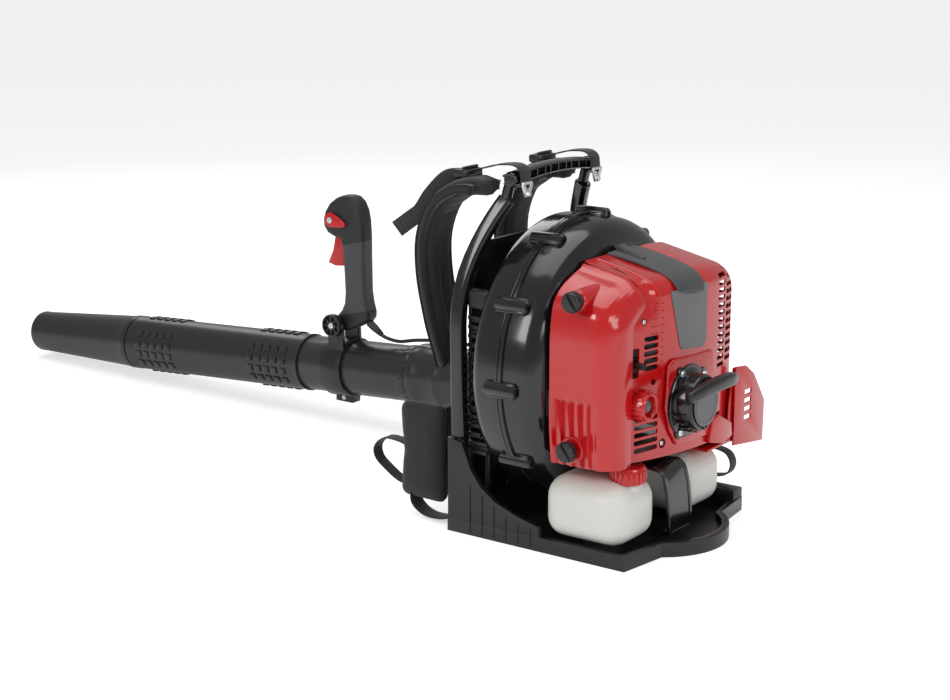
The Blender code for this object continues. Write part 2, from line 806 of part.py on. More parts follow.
def build_covers():
    front = cover_shell(
        "front_cover",
        (COVER_SEAM_X, -0.1450, 0.130),
        (0.1540, -0.0490, 0.388),
        [(0, 1, 0), (-1, 0, 0), (0, 0, -1)],
        [
            (edge_along(1, [(0, 0.1, 1), (2, 0.3, 1)]), 0.044, 6),
            (edge_in_plane(1, -0.1450, []), 0.022, 4),
        ],
        front_shape,
        (
            [-0.085, -0.055, -0.025, 0.005, 0.035, 0.07, 0.10, 0.13],
            [-0.075, -0.10],
            [0.16, 0.20, 0.25, 0.30, 0.335],
        ),
    )
    vents = merge(bmesh.new(), lathe(rod_profile(0.0505, -0.06, 0.06), 24, closed=False), on_crank(-0.160))
    for row in range(8):
        z = 0.2337 + 0.0125 * row
        merge(vents, block((0.099, -0.185, z), (0.137, -0.110, z + 0.0060)))
    for row in range(5):
        z = 0.2520 + 0.0100 * row
        merge(vents, block((-0.088, -0.185, z), (-0.063, -0.110, z + 0.0055)))
    for row in range(4):
        z = 0.144 + 0.0110 * row
        merge(vents, block((-0.104, -0.185, z), (-0.066, -0.110, z + 0.0055)))
    merge(vents, block((CHOKE_X - 0.0065, -0.185, 0.2450), (CHOKE_X + 0.0065, -0.110, 0.2830)))
    primer = Matrix.Translation((PRIMER_X, -0.150, PRIMER_Z)) @ ALONG_MINUS_Y
    merge(vents, lathe(rod_profile(0.0125, -0.04, 0.04), 16, closed=False), primer)
    cut(front, vents)

    cover_shell(
        "side_cover",
        (-0.1640, -0.1440, 0.128),
        (COVER_SEAM_X - COVER_GAP, -0.0480, 0.384),
        [(0, 1, 0), (1, 0, 0)],
        [
            (edge_along(1, [(0, -1, -0.12), (2, 0.3, 1)]), 0.046, 6),
            (edge_in_plane(1, -0.1440, [(2, 0.14, 1)]), 0.038, 6),
        ],
        side_shape,
        ([], [-0.075, -0.095], [0.15, 0.20, 0.25, 0.30, 0.34]),
    )


def build_top_pad():
    """Rubber pad that lies over the top of the front cover and folds down its front."""
    path = [(-0.052, 0.3920), (-0.075, 0.3880), (-0.100, 0.3830), (-0.125, 0.3760)]
    stations = [(0.0, y, z) for y, z in path]
    finish("top_pad", strip(stations, 0.036, 0.0035), "grey_rubber")


def build_muffler_guard():
    """Red heat shield that stands out beyond the covers on the exhaust side."""
    wing = [
        (0.1310, 0.102), (0.2180, 0.090), (0.2200, 0.150), (0.1860, 0.196), (0.1620, 0.212), (0.1310, 0.216)
    ]
    guard = finish("muffler_guard", prism([(x, -0.1610, z) for x, z in wing], (0, -0.0028, 0)), "red_plastic")
    slots = bmesh.new()
    for row in range(4):
        z = 0.132 + 0.0125 * row
        merge(slots, block((0.160, -0.17, z), (0.180, -0.15, z + 0.007)))
    cut(guard, slots)
    back = [(0.1310, -0.1620), (0.1310, -0.1000), (0.1345, -0.1000), (0.1345, -0.1620)]
    flange = bmesh.new()
    merge(flange, prism([(x + 0.0245, y, 0.104) for x, y in back], (0, 0, 0.080)))
    join(guard, flange)


def build_starter():
    housing = [
        (0.0, 0.0), (0.050, 0.0), (0.050, 0.006), (0.044, 0.009), (0.042, 0.026), (0.036, 0.030), (0.0, 0.030)
    ]
    base_y = -0.1590
    body = finish("starter_housing", lathe(housing, 32, closed=False), "gloss_black", on_crank(base_y))
    hollow = lathe(rod_profile(0.039, -0.01, 0.024), 24, closed=False)
    cut(body, hollow, on_crank(base_y))
    combine(
        body,
        guide(
            "starter_housing_exit",
            lathe(rod_profile(0.003, 0.0, 0.05), 10, closed=False),
            Matrix.Translation((0, base_y, CRANK_Z + 0.029)) @ ALONG_MINUS_Y,
        ),
        "DIFFERENCE",
    )
    disc = [(0.0, 0.0), (0.0315, 0.0), (0.0315, 0.002), (0.029, 0.0035), (0.0, 0.0035)]
    plate = finish("starter_disc", lathe(disc, 32, closed=False), "grey_plastic", on_crank(base_y - 0.0303))
    cut(plate, block((-0.008, -0.2, CRANK_Z + 0.0235), (0.008, -0.1, CRANK_Z + 0.05)))
    rope = lathe(rod_profile(0.0022, 0.0, 0.0300), 8, closed=False)
    finish(
        "starter_rope",
        rope,
        "black_fabric",
        Matrix.Translation((0, base_y - 0.010, CRANK_Z + 0.029)) @ ALONG_MINUS_Y,
    )
    grip = block((-0.050, -0.2160, CRANK_Z + 0.0210), (0.050, -0.2000, CRANK_Z + 0.0370))
    handle = finish("starter_grip", grip, "black_plastic")
    soften(handle, 0.005, 3)
    combine(
        handle,
        guide(
            "starter_grip_hole",
            lathe(rod_profile(0.0026, 0.0, 0.0050), 10, closed=False),
            Matrix.Translation((0, -0.1970, CRANK_Z + 0.029)) @ ALONG_MINUS_Y,
        ),
        "DIFFERENCE",
    )


def build_cover_controls():
    """Knobs of the side cover, choke lever and primer bulb."""
    knob = [(0.0, 0.0), (0.0085, 0.0), (0.0130, 0.003), (0.0130, 0.013), (0.0110, 0.016), (0.0, 0.016)]
    outward = Matrix.Rotation(-math.pi / 2, 4, "Y")
    for name, y, z, x in (
        ("side_knob_upper", -0.088, 0.352, -0.1645), ("side_knob_lower", -0.082, 0.152, -0.1645)
    ):
        turned = finish(
            name, lathe(knob, 18, closed=False), "black_plastic", Matrix.Translation((x, y, z)) @ outward
        )
        bar = block((-0.0035, -0.0140, 0.0130), (0.0035, 0.0140, 0.0190))
        join(turned, bar, Matrix.Translation((x, y, z)) @ outward)
    lever = [(-0.005, -0.003), (0.031, -0.004), (0.033, 0.0), (0.031, 0.004), (-0.005, 0.003)]
    place = Matrix.Translation((CHOKE_X, -0.1240, 0.2625))
    choke = finish(
        "choke_lever", prism([(-0.0045, -y, z) for y, z in lever], (0.009, 0, 0)), "black_plastic", place
    )
    soften(choke, 0.001, 1)
    bulb = [(0.0, 0.0), (0.0110, 0.0), (0.0110, 0.010), (0.0085, 0.0145), (0.0040, 0.0170), (0.0, 0.0178)]
    finish(
        "primer_bulb",
        lathe(bulb, 18, closed=False),
        "grey_plastic",
        Matrix.Translation((PRIMER_X, -0.142, PRIMER_Z)) @ ALONG_MINUS_Y,
    )


# ---------------------------------------------------------------- tank and mounts


def build_tank():
    """Two-lobed fuel tank on the base, the lobes joined at the back."""
    low = 0.0215
    tank = finish("fuel_tank", block((-0.1570, -0.1560, low), (-0.0560, -0.0300, 0.1060)), "tank_plastic")
    soften(tank, 0.020, 4)
    right = bmesh.new()
    merge(right, block((0.0200, -0.1500, low), (0.1310, -0.0300, 0.1020)))
    lobe = guide("fuel_tank_right", right)
    soften(lobe, 0.018, 3)
    neck = guide("fuel_tank_bridge", block((-0.0800, -0.0900, low + 0.014), (0.0500, -0.0440, 0.0800)))
    combine(tank, neck, "UNION")
    combine(tank, lobe, "UNION")
    filler = guide(
        "fuel_tank_filler",
        lathe(rod_profile(0.0190, 0.0, 0.0165), 20, closed=False),
        Matrix.Translation((-0.1020, -0.1330, 0.0950)),
    )
    combine(tank, filler, "UNION")
    hollow = prism([(x, -0.0485, z) for x, z in volute_outline(-0.0030)], (0, 0.0600, 0))
    combine(tank, guide("fuel_tank_back", hollow), "DIFFERENCE")
    cap = [(0.0, 0.0), (0.0235, 0.0), (0.0245, 0.0015), (0.0245, 0.0170), (0.0220, 0.0190), (0.0, 0.0190)]
    fuel_cap = finish(
        "fuel_cap",
        lathe(cap, 24, closed=False),
        "red_plastic",
        Matrix.Translation((-0.1020, -0.1330, 0.1063)),
    )
    hollow = guide(
        "fuel_cap_hollow",
        lathe(rod_profile(0.0195, -0.005, 0.0062), 20, closed=False),
        Matrix.Translation((-0.1020, -0.1330, 0.1063)),
    )
    combine(fuel_cap, hollow, "DIFFERENCE")


def build_tank_strap():
    """Black column in front of the gap between the tank's lobes, footed on the base."""
    outline = [
        (-0.1625, 0.0205),
        (-0.1690, 0.0205),
        (-0.1690, 0.0600),
        (-0.1600, 0.1130),
        (-0.1120, 0.1170),
        (-0.1120, 0.1130),
        (-0.1560, 0.1090),
    ]
    outline += [(-0.1625, 0.0590)]
    strap = finish("tank_strap", side_prism(outline, -0.0500, 0.0100), "gloss_black")
    soften(strap, 0.0015, 1)


def build_mount():
    """Rubber anti-vibration mount between the base floor and the fan housing."""
    mount = [(0.0, 0.0), (0.0180, 0.0), (0.0200, 0.008), (0.0180, 0.016), (0.0, 0.016)]
    place = Matrix.Translation((VOLUTE_X, 0.040, BASE_FLOOR + GAP))
    finish("rubber_mount", lathe(mount, 18, closed=False), "grey_rubber", place)


# ---------------------------------------------------------------- blow pipe


def on_pipe(distance):
    """A frame on the blow pipe's axis, local +Z along the air flow."""
    return PIPE_FRAME @ Matrix.Translation((0, 0, distance))


def build_elbow():
    """Outlet elbow: a tube that leads from the scroll's mouth out to the start of the pipe."""
    start = Vector((SNOUT_X, VOLUTE_BACK_Y + GAP, SNOUT_Z))
    end = on_pipe(-GAP).translation
    count = 6
    around = 24
    bm = bmesh.new()
    rings = []
    for radius in (OUTLET_RADIUS + 0.0025, OUTLET_RADIUS):
        skin = []
        for k in range(count):
            t = k / (count - 1)
            reach = min(1.0, t / 0.6)
            ease = reach * reach * (3 - 2 * reach)
            centre = Vector(
                (
                    start.x + (end.x - start.x) * ease,
                    start.y + (end.y - start.y) * t,
                    start.z + (end.z - start.z) * ease,
                )
            )
            lean = Matrix.Rotation(-PIPE_DROP * ease, 3, "X")
            skin.append([centre + lean @ Vector((x, 0, z)) for x, z in circle(radius, around)])
        rings.append(skin)
    order = rings[0] + rings[1][::-1]
    loops = [[bm.verts.new(p) for p in ring] for ring in order]
    loops.append(loops[0])
    for first, second in zip(loops, loops[1:]):
        for i in range(around):
            j = (i + 1) % around
            bm.faces.new((first[i], first[j], second[j], second[i]))
    finish("outlet_elbow", bm, "pipe_plastic")


def build_bellows():
    outer = [(0.0500, 0.0), (0.0500, 0.0150)]
    for k in range(6):
        height = 0.0190 + 0.0088 * k
        outer += [(0.0545, height), (0.0485, height + 0.0044)]
    outer += [(0.0500, 0.0710), (0.0500, BELLOWS_LENGTH)]
    inner = [(radius - 0.0022, height) for radius, height in outer][::-1]
    finish("bellows", lathe(outer + inner, 20), "grey_rubber", on_pipe(GAP))


def build_hose_clamps():
    for name, distance in (("hose_clamp_rear", 0.0025), ("hose_clamp_front", 0.0735)):
        clamp = finish(
            name, lathe(tube_profile(0.0503, 0.0517, 0.0, 0.0095), 32), "bright_steel", on_pipe(distance)
        )
        join(clamp, block((-0.008, -0.0600, 0.0010), (0.008, -0.0510, 0.0085)), on_pipe(distance))


def build_pipes():
    start = BELLOWS_LENGTH + 2 * GAP
    collar_in = 0.0460
    collar = [
        (collar_in - 0.0020, start),
        (0.0500, start),
        (0.0500, COLLAR_END - 0.060),
        (0.0515, COLLAR_END - 0.058),
    ]
    collar += [
        (0.0515, COLLAR_END - 0.002),
        (0.0500, COLLAR_END),
        (0.0462, COLLAR_END),
        (0.0462, COLLAR_END - 0.045),
        (collar_in - 0.0020, COLLAR_END - 0.047),
    ]
    finish("pipe_collar", lathe(collar, 24), "pipe_plastic", on_pipe(0))
    swivel_start = COLLAR_END - 0.0445
    swivel = [
        (0.0436, swivel_start),
        (0.0458, swivel_start),
        (0.0458, SWIVEL_END - 0.024),
        (0.0448, SWIVEL_END - 0.022),
    ]
    swivel += [
        (0.0448, SWIVEL_END), (0.0432, SWIVEL_END), (0.0432, SWIVEL_END - 0.030), (0.0436, SWIVEL_END - 0.032)
    ]
    finish("swivel_pipe", lathe(swivel, 24), "pipe_plastic", on_pipe(0))
    sleeve = SWIVEL_END - 0.0215
    straight = [(0.0452, sleeve), (0.0485, sleeve), (0.0485, sleeve + 0.004), (PIPE_RADIUS, sleeve + 0.006)]
    straight += [(PIPE_RADIUS, STRAIGHT_END - 0.020), (0.0448, STRAIGHT_END - 0.018), (0.0448, STRAIGHT_END)]
    straight += [(0.0430, STRAIGHT_END), (0.0430, STRAIGHT_END - 0.024), (0.0452, STRAIGHT_END - 0.028)]
    finish("straight_pipe", lathe(straight, 24), "pipe_plastic", on_pipe(0))
    start = STRAIGHT_END - 0.0175
    nozzle = [
        (0.0452, start),
        (0.0478, start),
        (0.0478, start + 0.012),
        (0.0460, start + 0.030),
        (NOZZLE_RADIUS + 0.0022, NOZZLE_END),
    ]
    nozzle += [(NOZZLE_RADIUS, NOZZLE_END), (0.0440, start + 0.030), (0.0452, start + 0.020)]
    finish("nozzle", lathe(nozzle, 24), "pipe_plastic", on_pipe(0))


# ---------------------------------------------------------------- control handle


def pivot_frame(x):
    """A frame on the handle's tilt axis, local +Z along +X."""
    return Matrix.Translation((x, PIVOT_Y, PIVOT_Z)) @ Matrix.Rotation(math.pi / 2, 4, "Y")


def build_handle_clamp():
    """Split band round the swivel pipe with two ears for the handle above and a lug below."""
    along = (0.609 - PIPE_START_Y) / math.cos(PIPE_DROP)
    band = finish(
        "handle_clamp",
        lathe(tube_profile(0.0461, 0.0500, -0.0220, 0.0220), 36),
        "black_plastic",
        on_pipe(along),
    )
    ears = bmesh.new()
    ear = [
        (-0.018, -0.050),
        (0.014, -0.050),
        (0.0155, 0.004),
        (0.010, 0.0130),
        (0.0, 0.0162),
        (-0.010, 0.0130),
        (-0.0155, 0.004),
    ]
    for x in (HANDLE_X - 0.0245, HANDLE_X + 0.0185):
        merge(ears, side_prism([(PIVOT_Y + y, PIVOT_Z + z) for y, z in ear], x, x + 0.006))
    merge(ears, block((PIPE_X - 0.010, 0.591, 0.0270), (PIPE_X + 0.010, 0.627, 0.0420)))
    join(band, ears)
    holes = merge(bmesh.new(), lathe(rod_profile(0.0464, -0.05, 0.05), 32, closed=False), on_pipe(along))
    merge(holes, lathe(rod_profile(0.0052, -0.03, 0.03), 14, closed=False), pivot_frame(HANDLE_X))
    cut(band, holes)


def build_pivot_knob():
    """Spoked knob on the wearer's inner side, with the tilt bolt through both ears."""
    knob = [
        (0.0, -0.0110),
        (0.0170, -0.0110),
        (0.0190, -0.0085),
        (0.0190, -0.0020),
        (0.0170, -GAP),
        (0.0050, -GAP),
    ]
    knob += [(0.0050, 0.0480), (0.0, 0.0480)]
    finish("pivot_knob", lathe(knob, 20, closed=False), "black_plastic", pivot_frame(HANDLE_X - 0.0245))


def grip_outline():
    """Side outline of the grip: leaning head, straight hand hold and flared foot."""
    return [
        (0.585, 0.3800),
        (0.568, 0.3750),
        (0.556, 0.3530),
        (0.552, 0.3150),
        (0.551, 0.2230),
        (0.543, 0.1880),
        (0.548, 0.1730),
        (0.574, 0.1580),
        (0.592, 0.1513),
        (0.6145, 0.1558),
        (0.6195, 0.1683),
        (0.6120, 0.1773),
        (0.6000, 0.1880),
        (0.5940, 0.2180),
        (0.5960, 0.2620),
        (0.6010, 0.3070),
        (0.6240, 0.3130),
        (0.6380, 0.3240),
        (0.6360, 0.3480),
        (0.6180, 0.3680),
    ]


def build_grip():
    """Two handle shells that meet on the trigger's plane."""
    slot = [(0.5780, 0.2530), (0.6480, 0.2530), (0.6480, 0.3230), (0.5840, 0.3230)]
    for name, low, high in (
        ("grip_left", HANDLE_X - GRIP_HALF, HANDLE_X - GAP / 2),
        ("grip_right", HANDLE_X + GAP / 2, HANDLE_X + GRIP_HALF),
    ):
        shell = finish(name, side_prism(grip_outline(), low, high), "grey_plastic")
        rim = low if name == "grip_left" else high
        edges = bmesh.new()
        edges.from_mesh(shell.data)
        outer = [e for e in edges.edges if all(abs(v.co.x - rim) < 1e-6 for v in e.verts)]
        bmesh.ops.bevel(
            edges, geom=outer, offset=0.0075, offset_type="OFFSET", segments=3, profile=0.5, affect="EDGES"
        )
        bmesh.ops.recalc_face_normals(edges, faces=edges.faces)
        edges.to_mesh(shell.data)
        edges.free()
        cut(shell, side_prism(slot, HANDLE_X - 0.0070, HANDLE_X + 0.0070))
        combine(
            shell,
            guide(
                name + "_pivot",
                lathe(rod_profile(0.0054, -0.03, 0.03), 14, closed=False),
                pivot_frame(HANDLE_X),
            ),
            "DIFFERENCE",
        )


def build_handle_controls():
    pivot = Vector((HANDLE_X, 0.6060, 0.3130))
    outline = [
        (0.0030, 0.0070),
        (0.0100, 0.0040),
        (0.0170, -0.0280),
        (0.0280, -0.0500),
        (0.0120, -0.0540),
        (-0.0060, -0.0520),
    ]
    outline += [(-0.0060, -0.0120), (-0.0070, 0.0020), (-0.0030, 0.0065)]
    trigger = finish(
        "throttle_trigger",
        prism([(-0.0060, y, z) for y, z in outline], (0.0120, 0, 0)),
        "red_plastic",
        Matrix.Translation(pivot),
    )
    soften(trigger, 0.002, 2)
    drop = [
        (0.016, -0.004),
        (0.020, 0.004),
        (0.016, 0.012),
        (0.006, 0.013),
        (-0.010, 0.0065),
        (-0.030, -0.002),
        (-0.032, -0.006),
        (-0.028, -0.009),
        (0.004, -0.008),
    ]
    place = Matrix.Translation((HANDLE_X - GRIP_HALF - GAP, 0.6150, 0.3380))
    lever = finish("speed_lever", prism([(0, y, z) for y, z in drop], (-0.0060, 0, 0)), "red_plastic", place)
    soften(lever, 0.0015, 2)


# ---------------------------------------------------------------- throttle cable


def build_throttle_cable():
    """Sheathed cable from the grip's foot along the pipe to the gland on the back frame."""
    route = [
        (0.200, 0.5430, 0.1650),
        (0.200, 0.5230, 0.1520),
        (0.202, 0.4930, 0.1470),
        (0.204, 0.4600, 0.1530),
        (0.204, 0.4200, 0.1580),
        (0.202, 0.3700, 0.1600),
        (0.198, 0.3100, 0.1660),
        (0.188, 0.2500, 0.1780),
        (0.166, 0.1900, 0.1900),
        (0.138, 0.1450, 0.1900),
        (0.1220, 0.1210, 0.1870),
    ]
    curve = bpy.data.curves.new("throttle_cable", "CURVE")
    curve.dimensions = "3D"
    curve.bevel_depth = 0.0030
    curve.bevel_resolution = 2
    curve.use_fill_caps = True
    points = smooth_route(route, 3)
    spline = curve.splines.new("POLY")
    spline.points.add(len(points) - 1)
    for point, co in zip(spline.points, points):
        point.co = (*co, 1.0)
    curve.materials.append(paint("black_plastic"))
    cable = bpy.data.objects.new("throttle_cable", curve)
    bpy.context.scene.collection.objects.link(cable)


# ---------------------------------------------------------------- harness


def build_pads():
    back = finish("back_pad", block((-0.104, 0.1068, 0.205), (0.104, 0.1280, 0.398)), "black_fabric")
    soften(back, 0.008, 3)
    hip = finish("hip_pad", block((-0.128, 0.1400, 0.030), (0.100, 0.1820, 0.160)), "black_fabric")
    soften(hip, 0.016, 3)
    route = [
        (0.1080, 0.4720),
        (0.1400, 0.4680),
        (0.1720, 0.4450),
        (0.1900, 0.4000),
        (0.1900, 0.3500),
        (0.1800, 0.3000),
        (0.1680, 0.2550),
        (0.1600, 0.2200),
    ]
    for name, x in (("shoulder_pad_left", -0.098), ("shoulder_pad_right", 0.090)):
        path = smooth_route([(x, y, z) for y, z in route], 2)
        finish(name, strip(path, 0.032, 0.020), "black_fabric")


def build_straps():
    """Webbing from the strap hangers to the ladder buckles on the shoulder pads."""
    for name, x in (("strap_left", -0.086), ("strap_right", 0.086)):
        path = smooth_route(
            [
                (x, 0.0462, 0.4780),
                (x, 0.0460, 0.4970),
                (x, 0.0600, 0.5060),
                (x, 0.0850, 0.5040),
                (x, 0.1230, 0.4970),
            ],
            3,
        )
        finish(name, strip(path, 0.0100, 0.0022), "black_fabric")
    for name, x in (("buckle_left", -0.092), ("buckle_right", 0.088)):
        buckle = finish(
            name, block((x - 0.0190, 0.1240, 0.4850), (x + 0.0190, 0.1480, 0.4930)), "black_plastic"
        )
        soften(buckle, 0.002, 2)


def main():
    for old in list(bpy.data.objects):
        bpy.data.objects.remove(old, do_unlink=True)
    build_base()
    build_rails()
    build_back_frame()
    build_carry_handle()
    build_hooks()
    build_volute()
    build_fan()
    build_crankshaft()
    build_crankcase()
    build_cylinder()
    build_piston()
    build_engine_fittings()
    build_covers()
    build_top_pad()
    build_muffler_guard()
    build_starter()
    build_cover_controls()
    build_tank()
    build_tank_strap()
    build_mount()
    build_elbow()
    build_bellows()
    build_hose_clamps()
    build_pipes()
    build_handle_clamp()
    build_pivot_knob()
    build_grip()
    build_handle_controls()
    build_throttle_cable()
    build_pads()
    build_straps()


main()
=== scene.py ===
"""Looks of the backpack leaf blower: skins, fabric, webbing, small parts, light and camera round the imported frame."""

import math

import bmesh
import bpy
from mathutils import Matrix, Vector


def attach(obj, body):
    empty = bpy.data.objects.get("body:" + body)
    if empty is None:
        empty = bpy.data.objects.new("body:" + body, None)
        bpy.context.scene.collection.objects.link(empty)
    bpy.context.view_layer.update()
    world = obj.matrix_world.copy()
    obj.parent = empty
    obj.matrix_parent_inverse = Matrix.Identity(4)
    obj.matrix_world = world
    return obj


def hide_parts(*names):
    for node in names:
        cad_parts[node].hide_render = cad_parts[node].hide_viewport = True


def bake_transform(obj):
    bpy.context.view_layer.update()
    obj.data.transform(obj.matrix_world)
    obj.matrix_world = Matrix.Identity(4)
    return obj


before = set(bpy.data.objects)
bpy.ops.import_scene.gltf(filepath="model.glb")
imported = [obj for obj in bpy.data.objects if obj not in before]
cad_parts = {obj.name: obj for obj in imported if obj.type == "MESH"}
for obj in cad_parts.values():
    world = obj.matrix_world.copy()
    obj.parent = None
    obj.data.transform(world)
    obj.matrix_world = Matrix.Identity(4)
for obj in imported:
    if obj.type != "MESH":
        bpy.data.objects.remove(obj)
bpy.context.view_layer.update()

bl_info = {
    "name": "Backpack Blower Looks",
    "version": (1, 0, 0),
    "blender": (4, 5, 0),
    "location": "3D View > Sidebar > Blower",
    "description": "Builds the visible skins, harness and finishes of a backpack leaf blower",
    "category": "Object",
}

ALONG_MINUS_Y = Matrix.Rotation(math.pi / 2, 4, "X")
PIPE_START = Vector((0.211, 0.125, 0.1132))
PIPE_DROP = math.radians(3.18)
PIPE_FRAME = Matrix.Translation(PIPE_START) @ Matrix.Rotation(-PIPE_DROP, 4, "X") @ Matrix.Rotation(
    -math.pi / 2, 4, "X"
)
CRANK_Z = 0.197
VOLUTE = Vector((0.006, 0.0, 0.235))
VOLUTE_RADIUS = 0.196
SNOUT = Vector((0.180, 0.0, 0.116))
SNOUT_RADIUS = 0.056
HANDLE_X = 0.200
LEVER_X = 0.1838
CABLE_ROUTE = [
    (0.200, 0.5430, 0.1650),
    (0.200, 0.5230, 0.1520),
    (0.202, 0.4930, 0.1470),
    (0.204, 0.4600, 0.1530),
    (0.204, 0.4200, 0.1580),
    (0.202, 0.3700, 0.1600),
    (0.198, 0.3100, 0.1660),
    (0.188, 0.2500, 0.1780),
    (0.166, 0.1900, 0.1900),
    (0.138, 0.1450, 0.1900),
    (0.1220, 0.1210, 0.1870),
]

# ---------------------------------------------------------------- settings


class BlowerSizes(bpy.types.PropertyGroup):
    """Sizes of the surface detail."""

    edge_round: bpy.props.FloatProperty(
        name="Edge rounding", description="Radius on moulded edges", default=0.0010, unit="LENGTH", subtype="DISTANCE"
    )
    cable_radius: bpy.props.FloatProperty(
        name="Cable radius", description="Half the throttle cable's diameter", default=0.0030, unit="LENGTH", subtype="DISTANCE"
    )
    webbing_width: bpy.props.FloatProperty(
        name="Webbing width", description="Width of the harness straps", default=0.024, unit="LENGTH", subtype="DISTANCE"
    )
    pad_swell: bpy.props.FloatProperty(
        name="Pad swell", description="How far a pad may puff out", default=0.007, unit="LENGTH", subtype="DISTANCE"
    )
    weave_pitch: bpy.props.FloatProperty(
        name="Weave pitch", description="Distance between threads", default=0.0016, unit="LENGTH", subtype="DISTANCE"
    )


class BlowerColours(bpy.types.PropertyGroup):
    """Colours of the main finishes."""

    cover_red: bpy.props.FloatVectorProperty(
        name="Cover red", description="Engine covers", default=(0.56, 0.003, 0.005), subtype="COLOR", size=3
    )
    moulding_black: bpy.props.FloatVectorProperty(
        name="Moulding black", description="Frame and base", default=(
            0.012, 0.012, 0.013
        ), subtype="COLOR", size=3
    )
    pipe_grey: bpy.props.FloatVectorProperty(
        name="Pipe grey", description="Blow pipe", default=(0.020, 0.021, 0.023), subtype="COLOR", size=3
    )
    grip_grey: bpy.props.FloatVectorProperty(
        name="Grip grey", description="Lower part of the control grip", default=(
            0.050, 0.052, 0.055
        ), subtype="COLOR", size=3
    )
    tank_white: bpy.props.FloatVectorProperty(
        name="Tank white", description="Milky fuel tank", default=(0.76, 0.76, 0.72), subtype="COLOR", size=3
    )


# ---------------------------------------------------------------- shader groups


def group_of(name, inputs, outputs):
    """Return a new shader group with its input and output nodes, or the finished one."""
    made = bpy.data.node_groups.get(name)
    if made:
        return made, None, None
    made = bpy.data.node_groups.new(name, "ShaderNodeTree")
    for label, kind, value in inputs:
        socket = made.interface.new_socket(name=label, in_out="INPUT", socket_type=kind)
        socket.default_value = value
    for label, kind in outputs:
        made.interface.new_socket(name=label, in_out="OUTPUT", socket_type=kind)
    return made, made.nodes.new("NodeGroupInput"), made.nodes.new("NodeGroupOutput")


def maths(tree, operation, first, second):
    """Add a Math node whose inputs are sockets or numbers, and return its output."""
    node = tree.nodes.new("ShaderNodeMath")
    node.operation = operation
    for socket, value in zip(node.inputs, (first, second)):
        if isinstance(value, (int, float)):
            socket.default_value = value
        else:
            tree.links.new(value, socket)
    return node.outputs[0]


def moulded_grain():
    """Moulded plastic surface: fine grain in the height, slow drift in colour and gloss."""
    inputs = [
        ("Colour", "NodeSocketColor", (0.5, 0.5, 0.5, 1.0)),
        ("Drift", "NodeSocketFloat", 0.15),
        ("Roughness", "NodeSocketFloat", 0.4),
        ("Roughness Drift", "NodeSocketFloat", 0.06),
        ("Grain Scale", "NodeSocketFloat", 1500.0),
        ("Grain Depth", "NodeSocketFloat", 0.1),
    ]
    outputs = [
        ("Colour", "NodeSocketColor"), ("Roughness", "NodeSocketFloat"), ("Normal", "NodeSocketVector")
    ]
    tree, given, result = group_of("Moulded Grain", inputs, outputs)
    if given is None:
        return tree
    place = tree.nodes.new("ShaderNodeTexCoord")
    slow = tree.nodes.new("ShaderNodeTexNoise")
    slow.inputs["Scale"].default_value = 14.0
    slow.inputs["Detail"].default_value = 4.0
    tree.links.new(place.outputs["Object"], slow.inputs["Vector"])
    centred = maths(tree, "SUBTRACT", slow.outputs["Fac"], 0.5)
    shift = maths(tree, "ADD", maths(tree, "MULTIPLY", centred, given.outputs["Drift"]), 1.0)
    tint = tree.nodes.new("ShaderNodeVectorMath")
    tint.operation = "SCALE"
    tree.links.new(given.outputs["Colour"], tint.inputs[0])
    tree.links.new(shift, tint.inputs["Scale"])
    tree.links.new(tint.outputs[0], result.inputs["Colour"])
    fine = tree.nodes.new("ShaderNodeTexNoise")
    fine.inputs["Detail"].default_value = 2.0
    tree.links.new(place.outputs["Object"], fine.inputs["Vector"])
    tree.links.new(given.outputs["Grain Scale"], fine.inputs["Scale"])
    scuffs = tree.nodes.new("ShaderNodeTexNoise")
    scuffs.inputs["Scale"].default_value = 60.0
    scuffs.inputs["Detail"].default_value = 6.0
    tree.links.new(place.outputs["Object"], scuffs.inputs["Vector"])
    spread = maths(
        tree,
        "MULTIPLY",
        maths(tree, "SUBTRACT", scuffs.outputs["Fac"], 0.5),
        given.outputs["Roughness Drift"],
    )
    tree.links.new(maths(tree, "ADD", given.outputs["Roughness"], spread), result.inputs["Roughness"])
    bump = tree.nodes.new("ShaderNodeBump")
    bump.inputs["Distance"].default_value = 0.0004
    tree.links.new(given.outputs["Grain Depth"], bump.inputs["Strength"])
    tree.links.new(fine.outputs["Fac"], bump.inputs["Height"])
    tree.links.new(bump.outputs["Normal"], result.inputs["Normal"])
    return tree


